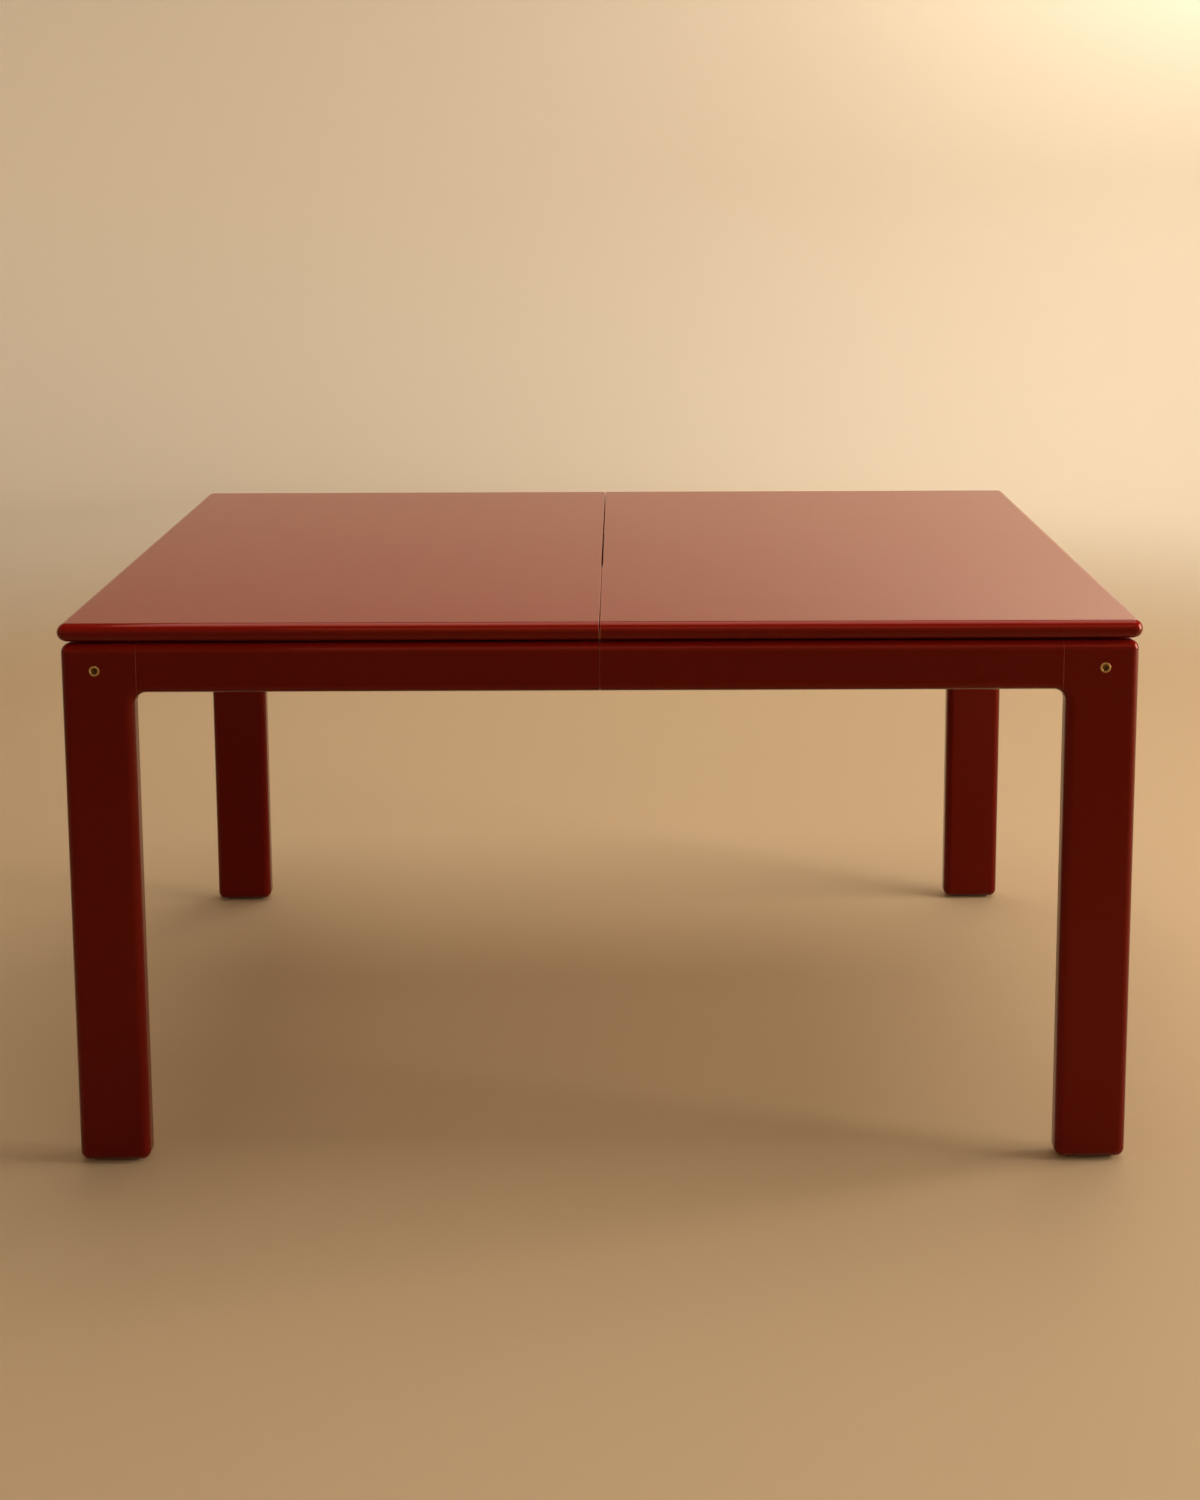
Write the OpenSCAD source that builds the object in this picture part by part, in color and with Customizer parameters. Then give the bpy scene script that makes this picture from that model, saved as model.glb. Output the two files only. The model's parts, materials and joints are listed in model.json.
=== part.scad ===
// Extending dining table: two half tables with legs, pulled apart on
// telescopic runners, and a folding leaf stored between them under the top.
// X runs along the table, Y from front to back, Z up. The floor is Z = 0.

/* [Table] */
// Length of the closed frame, outer side of leg to outer side of leg
table_l = 1400; // [1300:10:1700]
// Depth of the frame, front face to back face
table_w = 950; // [900:10:1100]
// Height of the top above the floor
table_h = 740; // [710:5:780]

/* [Top] */
// Thickness of the top and of the leaf
top_t = 24; // [20:1:26]
// Overhang of the top beyond the frame
top_over = 4; // [1:0.5:10]
// Radius of the top's corners seen from above
top_corner_r = 14; // [13:1:30]
// Gap between the two half tops when closed
top_seam = 1; // [0.6:0.2:3]
// Shadow gap between the top and the frame
shadow_gap = 3; // [2:0.5:6]

/* [Frame] */
// Thickness of legs, aprons and end rails
member_t = 36; // [32:1:44]
// Height of aprons and end rails
apron_h = 66; // [62:1:80]
// Width of a leg seen from the front
leg_w = 94; // [84:1:110]
// Radius of the long rounded edges
edge_r = 12; // [6:1:15]
// Radius of the foot corners
foot_r = 12; // [4:1:12]
// Radius of the hollow between leg and apron
hollow_r = 16; // [14:1:24]
// How far a leg's shoulder reaches past its side
shoulder = 5; // [3:1:8]
// Gap between the two half aprons when closed
apron_seam = 0.3; // [0.2:0.1:1.5]
// Thickness of the felt pads under the legs
glide_t = 3; // [2:0.5:6]

/* [Corner blocks and battens] */
// Length of a corner block along each rail
block_l = 92; // [80:1:110]
// Thickness of a corner block where it ends
block_end = 24; // [18:1:30]
// Height of a corner block above the apron's underside
block_up = 8; // [4:1:14]
// Width of the battens that carry the top
batten_w = 20; // [16:1:26]
// Height of the battens
batten_h = 26; // [20:1:32]

/* [Leg bolts] */
// Distance of the leg bolt from the leg's outer side
bolt_in = 45; // [43:1:52]
// Distance of the leg bolt below the frame's top
bolt_down = 35; // [30:1:42]
// Diameter of the bolt's shank
bolt_d = 6; // [5:0.5:8]
// Diameter of the bolt's head
bolt_head_d = 8.5; // [8:0.5:11]
// Width of the bolt's hexagon socket across corners
bolt_hex = 5; // [4.4:0.2:6]
// Outer diameter of the cup washer's rim
cup_d = 14; // [13:0.5:18]
// Length of the bolt behind the leg
bolt_grip = 34; // [28:1:40]
// Diameter of the barrel nut
nut_d = 10; // [9:0.5:12]
// Height of the barrel nut
nut_h = 16; // [12:1:20]
// Distance of the barrel nut behind the rail
nut_in = 22; // [18:1:26]
// Depth of the bolt's hexagon socket
hex_depth = 3.5; // [2.5:0.5:4.5]

/* [Dowels and pegs] */
// Diameter of the dowels between legs and rails
dowel_d = 8; // [6:1:10]
// Length of the dowels
dowel_l = 40; // [30:2:50]
// Spacing of the two dowels in a joint
dowel_pitch = 32; // [26:1:36]
// Diameter of the locating pegs in the seam
peg_d = 8; // [6:1:10]
// Length of a peg standing out of its seam face
peg_out = 12; // [8:1:16]
// Length of a peg glued into its own piece
peg_in = 16; // [12:1:20]

/* [Runners] */
// Width of one runner member
runner_w = 22; // [20:1:26]
// Clearance between two members that slide
slide_gap = 0.4; // [0.3:0.1:0.8]
// Distance from the end of the table to the end of the runners
runner_inset = 140; // [120:5:200]
// Clearance between the moving members and the top
top_clear = 1.5; // [1:0.5:3]
// Depth of the dovetail tongues
tongue_d = 6; // [4:0.5:7]
// Height of a tongue at its root
tongue_root = 8; // [6:0.5:9]
// Height of a tongue at its tip
tongue_tip = 12; // [10:0.5:14]
// Height of the tongue's middle below the runner's top
tongue_down = 18; // [12:1:22]

/* [Rack and pinion] */
// Module of the teeth
gear_m = 2; // [1.5:0.5:2.5]
// Height of the rack strips
rack_h = 9; // [7:0.5:10]
// Thickness of a rack behind its teeth
rack_back = 4; // [3:0.5:5]
// Height of a tooth above the rack's pitch line
rack_add = 1.5; // [1.2:0.1:1.6]
// Play between the teeth
gear_play = 0.3; // [0.2:0.1:0.5]
// Diameter of the pinion's pin
axle_d = 6; // [5:0.5:8]
// Length of rack past the pinion at each end
rack_spare = 22; // [15:1:30]

/* [Leaf] */
// Length that the leaf adds to the table
leaf_l = 500; // [400:10:560]
// Gap between the stored leaf and the top
leaf_head = 5; // [3:0.5:7]
// Gap between the stored leaf and the runners
leaf_side = 27; // [22:1:34]
// Distance of the two bearers from the middle
bearer_x = 150; // [120:5:180]
// Width of a bearer
bearer_w = 60; // [40:2:80]
// Thickness of a bearer
bearer_t = 12; // [9:1:14]
// Length of a leaf hinge
hinge_l = 50; // [40:2:60]
// Height of a hinge plate
hinge_h = 18; // [12:1:19]
// Thickness of a hinge plate
hinge_t = 1.5; // [1:0.25:2]
// Diameter of a hinge's barrel
hinge_d = 5; // [4:0.25:6]
// Spacing of the leaf's three hinges
hinge_spacing = 180; // [150:5:200]

/* [Latches] */
// Distance from a latch's pivot to its stud
latch_arm = 28; // [24:1:30]
// Width of a latch arm
latch_w = 13; // [11:1:14]
// Thickness of a latch arm
latch_t = 3; // [2:0.5:4]
// Diameter of the latch pivot and of the stud
latch_pin_d = 6; // [5:0.5:7]
// Thickness of the latch and keeper plates
plate_t = 2; // [1.5:0.5:3]
// Width of the latch and keeper plates
plate_w = 26; // [22:1:30]
// Length of the latch plate behind its pivot
plate_back = 34; // [28:1:40]
// Length of the keeper plate past its stud
keeper_past = 22; // [18:1:28]

/* [Screws] */
// Diameter of the screws' shanks
screw_d = 4; // [3:0.5:5]
// Diameter of the screws' heads
screw_head_d = 8; // [7:0.5:9]
// Depth that screws reach into the top
screw_bite = 13; // [10:1:16]
// Depth of wood between a runner screw's head and the runner's top
screw_wood = 24; // [18:1:30]
// Distance of the outer screws from the ends of a runner or batten
screw_end = 40; // [30:5:60]

/* [Fits] */
// Clearance of a pin or shank in its hole
pin_fit = 0.05; // [0.02:0.01:0.1]
// Clearance of a part that slides in freely
free_fit = 0.4; // [0.3:0.1:0.8]
// Gap that keeps two neighbours just apart
near_gap = 0.3; // [0.2:0.05:0.5]

/* [Hidden] */
$fn = 64;

lacquer_red = "#8f1d12";
beech = "#d2a878";
brass = "#c79a52";
steel = "#a9adb0";
nylon = "#e6e2d8";
felt = "#4a3d33";

half_l = table_l / 2;
half_w = table_w / 2;
under_z = table_h - top_t;
frame_z = under_z - shadow_gap;
apron_z = frame_z - apron_h;
seam_x = leg_w + shoulder;
rail_seam = member_t + shoulder;
half_top_w = half_w + top_over;
top_end = half_l + top_over;
bull_r = top_t / 2;
mid_top_z = table_h - bull_r;
bolt_z = frame_z - bolt_down;
rail_mid_z = apron_z + apron_h / 2;

// The leaf folds in the middle, so each panel is half as deep as the top.
panel_w = half_top_w;
leaf_z = under_z - leaf_head - 2 * top_t;
peg_ys = [panel_w / 4, panel_w * 3 / 4];
socket_room = 1;
peg_socket = peg_out + socket_room;

// Runner sets lie beside the stored leaf, one in front and one behind.
runner_y = panel_w / 2 + leaf_side + 1.5 * runner_w + slide_gap;
runner_l = table_l - 2 * runner_inset;
runner_top = under_z - top_clear;
side_lift = 1;
runner_low = leaf_z + side_lift;
tongue_z = runner_top - tongue_down;
seam_room = 20;
member_in = runner_w / 2 + slide_gap;
member_out = member_in + runner_w;
travel = leaf_l;
screw_xs = [-runner_l / 2 + screw_end, -(runner_l / 2 + screw_end) / 2, -2 * screw_end];
screw_seat_z = runner_top - screw_wood;

// The pinion reaches through the centre member to a rack on each side.
rack_lip = 0.1;
pinion_teeth = ceil(2 * (member_in + rack_lip + rack_add) / gear_m - 0.001);
pitch_r = gear_m * pinion_teeth / 2;
gear_pitch = PI * gear_m;
pressure = 20;
base_r = pitch_r * cos(pressure);
tip_r = pitch_r + gear_m;
root_gap = 0.2 * gear_m;
root_r = pitch_r - rack_add - root_gap;
rack_root = gear_m + root_gap;
rack_z = runner_low;
pinion_h = rack_h - 2.5 * free_fit;
pinion_z = rack_z + free_fit;
window_z = rack_z + rack_h + 2 * near_gap;
window_side = 2;
axle_head_d = 2 * axle_d;
axle_head_t = 3;
axle_up = 17;
rack_first = floor(-rack_spare / gear_pitch);
rack_last = ceil((travel / 2 + rack_spare) / gear_pitch);
rack_x0 = (rack_first - 0.5) * gear_pitch;
rack_x1 = (rack_last + 1) * gear_pitch;
left_phase = pinion_teeth % 2 == 1 ? 0 : 0.5;
right_phase = 0.5;

bearer_out = runner_y + member_out;
bearer_bite = 20;
bearer_screw_xs = [for (x = [-bearer_x, bearer_x], s = [-1, 1]) x + s * bearer_w / 4];
stop_l = 20;
stop_x = bearer_x + bearer_w / 2 + travel / 2 + near_gap;
leaf_stop_w = 12;
leaf_stop_h = 12;

batten_in = half_w - member_t - batten_w;
latch_y = (bearer_out + batten_in) / 2;
plate_seam = 4;
latch_pivot_x = -(latch_arm + plate_seam) / 2;
stud_x = latch_pivot_x + latch_arm;
arm_z = under_z - plate_t - free_fit - latch_t;
latch_head_t = 1.5;
latch_head_lap = 2.5;
latch_head_d = latch_pin_d + 2 * latch_head_lap;
stud_out = 1;
plate_x0 = latch_pivot_x - plate_back;
plate_x1 = -plate_seam;
keeper_x1 = stud_x + keeper_past;
plate_screw_in = 7;
plate_points = [for (s = [-1, 1]) [plate_x0 + plate_screw_in, -latch_y + s * plate_screw_in]];
keeper_points = [for (s = [-1, 1]) [keeper_x1 - plate_screw_in, -latch_y + s * plate_screw_in]];

// The bolt's head sits in a thin cup washer that is let into the leg.
cup_rim_t = 1.2;
cup_proud = 0.4;
cup_wall = 0.6;
cup_floor = 1;
cup_fit = 0.2;
cup_in_r = bolt_head_d / 2 + cup_fit;
cup_out_r = cup_in_r + cup_wall;
head_in = 1.4;
head_h = 6;
cup_seat = head_in + head_h;

screw_head_t = 2.5;
screw_head_room = 1;
hole_spare = 0.5;
bolt_spare = 3;
dowel_spare = 0.3;
pad_in = 3;
pad_r = 4;
hinge_play = 0.2;
hinge_rise = hinge_d / 2 + 2 * hinge_play;
barrel_room = 1;

batten_x0 = -half_l + member_t + block_l;
batten_x1 = -seam_room;
batten_y = -half_w + member_t + batten_w / 2;
batten_screw_first = batten_x0 + screw_end;
batten_screw_step = (batten_x1 - batten_x0 - 2 * screw_end) / 3;
batten_points = [for (i = [0 : 3]) [batten_screw_first + i * batten_screw_step, batten_y]];
end_batten_x = -half_l + member_t + batten_w / 2;
end_batten_y = half_w - member_t - block_l;
end_batten_ys = [-end_batten_y + screw_end, 0, end_batten_y - screw_end];
leaf_peg_ys = [for (y = peg_ys) panel_w / 2 - y];

// Cuts run past the faces that they open by this much.
cut = 1;

// Rectangle from the origin with four rounded corners
module rounded(w, h, r) {
    translate([r, 0]) square([w - 2 * r, h]);
    translate([0, r]) square([w, h - 2 * r]);
    for (x = [r, w - r], y = [r, h - r])
        translate([x, y]) circle(r);
}

// Draws a front piece and its mirror copy at the back
module front_and_back() {
    children();
    mirror([0, 1, 0]) children();
}

// Moves a piece drawn from a corner of the frame to the front left corner
module at_corner() {
    translate([-half_l, -half_w, 0]) children();
}

module at_runner() {
    translate([0, -runner_y, 0]) children();
}

// Wood screw pointing up, with its head's underside at the origin
module screw(length) {
    translate([0, 0, -screw_head_t]) cylinder(h = screw_head_t, d = screw_head_d);
    cylinder(h = length, d = screw_d);
}

module screw_hole(length) {
    translate([0, 0, -cut]) cylinder(h = cut + length + hole_spare, d = screw_d + 2 * pin_fit);
}

// Swaps X and Y, to draw the same thing along a corner's other side
module across() {
    mirror([1, -1, 0]) children();
}

// Top with a full round edge, cut square at the seam
module bullnose_section(w) {
    translate([bull_r, 0]) square([w - bull_r, top_t]);
    translate([bull_r, bull_r]) circle(bull_r);
}

module half_top() {
    edge_x = top_end - top_corner_r;
    edge_y = half_top_w - top_corner_r;
    translate([0, 0, under_z]) {
        front_and_back()
            translate([-edge_x, -half_top_w, 0])
                rotate([90, 0, 90])
                    linear_extrude(edge_x - top_seam / 2) bullnose_section(half_top_w);
        translate([-top_end, edge_y, 0])
            rotate([90, 0, 0])
                linear_extrude(2 * edge_y) bullnose_section(top_corner_r);
        front_and_back()
            translate([-edge_x, -edge_y, 0])
                rotate_extrude() {
                    square([top_corner_r - bull_r, top_t]);
                    intersection() {
                        translate([top_corner_r - bull_r, bull_r]) circle(bull_r);
                        square([top_corner_r, top_t]);
                    }
                }
    }
}

// Holes in the underside of a left half top
module top_screw_holes() {
    front_and_back() {
        at_runner()
            for (x = screw_xs)
                translate([x, -member_in - runner_w / 2, under_z]) screw_hole(screw_bite);
        for (p = batten_points)
            translate([p[0], p[1], under_z]) screw_hole(screw_bite);
        for (p = plate_points)
            translate([p[0], p[1], under_z]) screw_hole(screw_bite);
    }
    for (y = end_batten_ys)
        translate([end_batten_x, y, under_z]) screw_hole(screw_bite);
}

module top_left() {
    color(lacquer_red)
    difference() {
        half_top();
        top_screw_holes();
        front_and_back()
            for (y = peg_ys)
                translate([-top_seam / 2 - peg_in, y, mid_top_z])
                    rotate([0, 90, 0]) cylinder(h = peg_in + cut, d = peg_d + 2 * pin_fit);
    }
}

module top_right() {
    color(lacquer_red)
    difference() {
        mirror([1, 0, 0]) half_top();
        right_top_screw_holes();
        front_and_back()
            for (y = peg_ys)
                translate([top_seam / 2 - cut, y, mid_top_z])
                    rotate([0, 90, 0]) cylinder(h = cut + peg_socket, d = peg_d + 2 * free_fit);
    }
}

module right_top_screw_holes() {
    front_and_back() {
        at_runner()
            for (x = screw_xs)
                translate([-x, member_in + runner_w / 2, under_z]) screw_hole(screw_bite);
        for (p = batten_points)
            translate([-p[0], p[1], under_z]) screw_hole(screw_bite);
        for (p = keeper_points)
            translate([p[0], p[1], under_z]) screw_hole(screw_bite);
    }
    for (y = end_batten_ys)
        translate([-end_batten_x, y, under_z]) screw_hole(screw_bite);
}

// Outline of a leg seen from one side, rounded at the foot and at the outer top corner
module leg_outline(w) {
    translate([foot_r, glide_t]) square([w - 2 * foot_r, 2 * foot_r]);
    for (x = [foot_r, w - foot_r])
        translate([x, glide_t + foot_r]) circle(foot_r);
    translate([0, glide_t + foot_r]) square([w, frame_z - edge_r - glide_t - foot_r]);
    translate([edge_r, frame_z - 2 * edge_r]) square([w - edge_r, 2 * edge_r]);
    translate([edge_r, frame_z - edge_r]) circle(edge_r);
}

module leg_plank() {
    difference() {
        intersection() {
            translate([0, 0, glide_t])
                linear_extrude(frame_z - glide_t) rounded(leg_w, member_t, edge_r);
            translate([0, member_t, 0])
                rotate([90, 0, 0]) linear_extrude(member_t) leg_outline(leg_w);
            rotate([90, 0, 90]) linear_extrude(leg_w) leg_outline(member_t);
        }
        corner_waste([edge_r, edge_r, frame_z - edge_r], [-1, -1, 1]);
        for (x = [edge_r, leg_w - edge_r], y = [edge_r, member_t - edge_r])
            corner_waste([x, y, glide_t + edge_r], [x - leg_w / 2, y - member_t / 2, -1]);
    }
}

// What is taken off round a ball in a leg's corner that points towards way, to leave it round on all sides
module corner_waste(middle, way) {
    translate(middle)
        difference() {
            translate([for (w = way) w < 0 ? -edge_r - cut : 0]) cube(edge_r + cut);
            sphere(edge_r);
        }
}

module rail_bar(x0, x1) {
    translate([x0, 0, apron_z])
        rotate([90, 0, 90]) linear_extrude(x1 - x0) rounded(member_t, apron_h, edge_r);
}

// Hollow corner under a rail beside a leg of width w, with the same rounded edge
module hollow_web(w, x0, x1) {
    difference() {
        translate([x0, 0, apron_z - hollow_r]) cube([x1 - x0, member_t, hollow_r + edge_r]);
        translate([w + hollow_r, 0, apron_z - hollow_r])
            rotate([-90, 0, 0])
                rotate_extrude()
                    difference() {
                        translate([0, -cut]) square([hollow_r + edge_r, member_t + 2 * cut]);
                        translate([hollow_r, 0]) rounded(4 * edge_r, member_t, edge_r);
                    }
    }
}

module leg_shoulder(w) {
    rail_bar(w - edge_r, w + shoulder);
    hollow_web(w, w - edge_r, w + shoulder);
}

// Dowel holes that cross the joint at distance x from the corner
module dowels(x, d) {
    for (z = [-1, 1])
        translate([x - dowel_l / 2, member_t / 2, rail_mid_z + z * dowel_pitch / 2])
            rotate([0, 90, 0]) cylinder(h = dowel_l, d = d);
}

module dowel_holes(x) {
    for (s = [-dowel_spare, dowel_spare])
        translate([s, 0, 0]) dowels(x, dowel_d + 2 * pin_fit);
}

module leg() {
    color(lacquer_red)
    difference() {
        union() {
            leg_plank();
            leg_shoulder(leg_w);
            across() leg_shoulder(member_t);
        }
        dowel_holes(seam_x);
        across() dowel_holes(rail_seam);
        translate([bolt_in, 0, bolt_z]) rotate([-90, 0, 0]) {
            translate([0, 0, -cut]) cylinder(h = cut + cup_rim_t - cup_proud, d = cup_d + 2 * pin_fit);
            translate([0, 0, -cut])
                cylinder(h = cut + cup_seat + cup_floor + cup_wall, r = cup_out_r + 2 * pin_fit);
            cylinder(h = member_t + cut, d = bolt_d + free_fit);
        }
    }
}

module apron() {
    color(lacquer_red)
    difference() {
        union() {
            rail_bar(seam_x, half_l - apron_seam / 2);
            hollow_web(leg_w, seam_x, leg_w + hollow_r);
        }
        dowel_holes(seam_x);
    }
}

module apron_with_peg_hole(depth, d) {
    difference() {
        apron();
        translate([half_l - apron_seam / 2 - depth, member_t / 2, rail_mid_z])
            rotate([0, 90, 0]) cylinder(h = depth + cut, d = d);
    }
}

module end_rail() {
    color(lacquer_red)
    translate([-half_l, 0, 0])
        difference() {
            union() {
                front_and_back()
                    translate([0, -half_w, 0])
                        across() {
                            rail_bar(rail_seam, half_w);
                            hollow_web(member_t, rail_seam, member_t + hollow_r);
                        }
            }
            front_and_back()
                translate([0, -half_w, 0]) across() dowel_holes(rail_seam);
        }
}

// Block glued behind a leg, in the corner of apron and end rail
module corner_block() {
    block_z = apron_z + block_up;
    color(beech)
    difference() {
        translate([member_t, member_t, block_z])
            linear_extrude(under_z - block_z)
                polygon([[0, 0], [block_l, 0], [block_l, block_end],
                    [block_end, block_l], [0, block_l]]);
        translate([bolt_in, member_t - cut, bolt_z])
            rotate([-90, 0, 0]) cylinder(h = cut + bolt_grip + bolt_spare, d = bolt_d + free_fit);
        translate([bolt_in, member_t + nut_in, block_z - cut])
            cylinder(h = cut + bolt_z + nut_h / 2 - block_z, d = nut_d + 2 * pin_fit);
    }
}

// Battens screwed inside the rails, a shadow gap higher than they are
module battens() {
    color(beech)
    difference() {
        union() {
            front_and_back()
                translate([batten_x0, -half_w + member_t, under_z - batten_h])
                    cube([batten_x1 - batten_x0, batten_w, batten_h]);
            translate([-half_l + member_t, -end_batten_y, under_z - batten_h])
                cube([batten_w, 2 * end_batten_y, batten_h]);
        }
        batten_screw_places() screw_hole(batten_h + cut);
    }
}

module batten_screw_places() {
    front_and_back()
        for (p = batten_points)
            translate([p[0], p[1], under_z - batten_h]) children();
    for (y = end_batten_ys)
        translate([end_batten_x, y, under_z - batten_h]) children();
}

module batten_screws() {
    color(steel)
    batten_screw_places() screw(batten_h + screw_bite);
}

module foot_pad() {
    pad_l = leg_w - 2 * (foot_r + pad_in);
    pad_w = member_t - 2 * foot_r;
    color(felt)
    translate([(leg_w - pad_l) / 2, (member_t - pad_w) / 2, 0])
        linear_extrude(glide_t) rounded(pad_l, pad_w, pad_r);
}

module leg_bolt() {
    color(brass)
    translate([bolt_in, head_in, bolt_z])
        rotate([-90, 0, 0])
            difference() {
                union() {
                    cylinder(h = head_h, d = bolt_head_d);
                    cylinder(h = member_t + bolt_grip - head_in, d = bolt_d);
                }
                translate([0, 0, -cut]) cylinder(h = cut + hex_depth, d = bolt_hex, $fn = 6);
            }
}

module cup_washer() {
    color(brass)
    translate([bolt_in, 0, bolt_z])
        rotate([-90, 0, 0])
            difference() {
                union() {
                    translate([0, 0, -cup_proud]) cylinder(h = cup_rim_t, d = cup_d);
                    cylinder(h = cup_seat + cup_floor, r = cup_out_r);
                }
                translate([0, 0, -cup_proud - cut])
                    cylinder(h = cut + cup_proud + cup_seat, r = cup_in_r);
                cylinder(h = cup_seat + cup_floor + cut, d = bolt_d + cup_fit);
            }
}

module barrel_nut() {
    color(steel)
    difference() {
        translate([bolt_in, member_t + nut_in, bolt_z - nut_h / 2]) cylinder(h = nut_h, d = nut_d);
        translate([bolt_in, member_t + nut_in - nut_d, bolt_z])
            rotate([-90, 0, 0]) cylinder(h = 2 * nut_d, d = bolt_d + 2 * pin_fit);
    }
}

module frame_dowels() {
    color(beech)
    front_and_back()
        at_corner() {
            dowels(seam_x, dowel_d);
            across() dowels(rail_seam, dowel_d);
        }
}

// Pegs glued into the left half, which enter sockets in the right half
module seam_pegs() {
    color(brass)
    front_and_back() {
        for (y = peg_ys)
            translate([-top_seam / 2 - peg_in, y, mid_top_z])
                rotate([0, 90, 0]) cylinder(h = peg_in + top_seam + peg_out, d = peg_d);
        translate([-apron_seam / 2 - peg_in, -half_w + member_t / 2, rail_mid_z])
            rotate([0, 90, 0]) cylinder(h = peg_in + apron_seam + peg_out, d = peg_d);
    }
}

// Dovetail tongue on one side of the centre member, grown by a clearance
module tongue(play) {
    root = tongue_root / 2 + play;
    tip = tongue_tip / 2 + play;
    polygon([[runner_w / 2 - cut, tongue_z - root], [runner_w / 2, tongue_z - root],
        [runner_w / 2 + tongue_d + play, tongue_z - tip],
        [runner_w / 2 + tongue_d + play, tongue_z + tip],
        [runner_w / 2, tongue_z + root], [runner_w / 2 - cut, tongue_z + root]]);
}

// Outer member, screwed under the left half top, seen from its runner set
module side_member() {
    color(beech)
    difference() {
        union() {
            translate([-runner_l / 2, -member_out, runner_low])
                cube([runner_l, runner_w, runner_top - runner_low]);
            translate([-runner_l / 2, -member_out, runner_top])
                cube([runner_l / 2 - seam_room, runner_w, top_clear]);
        }
        translate([-runner_l / 2 - cut, 0, 0])
            rotate([90, 0, 90]) linear_extrude(runner_l + 2 * cut) mirror([1, 0]) tongue(slide_gap);
        translate([rack_x0, -pitch_r - rack_root - rack_back, runner_low - cut])
            cube([rack_x1 - rack_x0, rack_back + rack_root + pitch_r, cut + rack_h]);
        for (x = screw_xs)
            translate([x, -member_in - runner_w / 2, 0]) {
                translate([0, 0, runner_low - cut])
                    cylinder(h = cut + screw_seat_z - runner_low, d = screw_head_d + screw_head_room);
                translate([0, 0, screw_seat_z]) screw_hole(under_z - screw_seat_z);
            }
    }
}

// Centre member with a tongue on each side and a window for the pinion
module centre_member() {
    color(beech)
    difference() {
        union() {
            translate([-runner_l / 2, -runner_w / 2, leaf_z])
                cube([runner_l, runner_w, runner_top - leaf_z]);
            translate([-runner_l / 2, 0, 0]) rotate([90, 0, 90]) linear_extrude(runner_l) {
                tongue(0);
                mirror([1, 0]) tongue(0);
            }
        }
        translate([-tip_r - window_side, -runner_w, leaf_z - cut])
            cube([2 * (tip_r + window_side), 2 * runner_w, cut + window_z - leaf_z]);
        cylinder(h = window_z + axle_up, d = axle_d + 2 * pin_fit);
        for (x = bearer_screw_xs)
            translate([x, 0, leaf_z]) screw_hole(bearer_bite);
    }
}

// Rack strip with its teeth towards the pinion, seen from its runner set
module rack(phase) {
    half_tooth = gear_pitch / 4 - gear_play / 2;
    tip_half = half_tooth - rack_add * tan(pressure);
    root_half = half_tooth + rack_root * tan(pressure);
    color(steel)
    translate([0, -pitch_r, rack_z])
        linear_extrude(rack_h)
            polygon(concat(
                [[rack_x0, -rack_root - rack_back], [rack_x1, -rack_root - rack_back],
                    [rack_x1, -rack_root]],
                [for (k = [rack_last : -1 : rack_first])
                    let (x = (k + phase) * gear_pitch)
                    each [[x + root_half, -rack_root], [x + tip_half, rack_add],
                        [x - tip_half, rack_add], [x - root_half, -rack_root]]],
                [[rack_x0, -rack_root]]));
}

// Angle in degrees by which an involute has turned at radius rho
function involute(rho) =
    let (phi = acos(min(1, base_r / rho)))
    tan(phi) * 180 / PI - phi;
function half_angle(rho) =
    90 / pinion_teeth - gear_play / 2 / pitch_r * 180 / PI + involute(pitch_r) - involute(rho);
function polar(rho, a) = [rho * cos(a), rho * sin(a)];

// Pinion with a tooth pointing at the inner rack
module pinion() {
    steps = 4;
    radii = [for (i = [0 : steps]) base_r + (tip_r - base_r) * i / steps];
    color(nylon)
    translate([0, 0, pinion_z])
        linear_extrude(pinion_h)
            difference() {
                polygon([for (k = [0 : pinion_teeth - 1])
                    let (a = 90 + k * 360 / pinion_teeth)
                    each concat(
                        [polar(root_r, a - half_angle(base_r))],
                        [for (rho = radii) polar(rho, a - half_angle(rho))],
                        [for (i = [steps : -1 : 0]) polar(radii[i], a + half_angle(radii[i]))],
                        [polar(root_r, a + half_angle(base_r))])]);
                circle(d = axle_d + 2 * pin_fit);
            }
}

module pinion_pin() {
    color(steel) {
        translate([0, 0, pinion_z - 2 * pin_fit - axle_head_t])
            cylinder(h = axle_head_t, d = axle_head_d);
        translate([0, 0, pinion_z - 4 * pin_fit])
            cylinder(h = window_z + axle_up - pinion_z, d = axle_d);
    }
}

// Block under an outer member that stops the bearer at full travel
module stop_block() {
    color(beech)
    translate([stop_x, -member_out, runner_low - bearer_t])
        cube([stop_l, runner_w, bearer_t]);
}

module runner_screws() {
    color(steel)
    for (x = screw_xs)
        translate([x, -member_in - runner_w / 2, screw_seat_z])
            screw(under_z - screw_seat_z + screw_bite);
}

module leaf_bearers() {
    color(beech)
    difference() {
        for (x = [-bearer_x, bearer_x])
            translate([x - bearer_w / 2, -bearer_out, leaf_z - bearer_t])
                cube([bearer_w, 2 * bearer_out, bearer_t]);
        bearer_screw_places() translate([0, 0, -bearer_t]) screw_hole(bearer_t + cut);
    }
}

module bearer_screw_places() {
    for (x = bearer_screw_xs, y = [-runner_y, runner_y])
        translate([x, y, leaf_z]) children();
}

module bearer_screws() {
    color(steel)
    bearer_screw_places()
        translate([0, 0, -bearer_t]) screw(bearer_t + bearer_bite);
}

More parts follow.
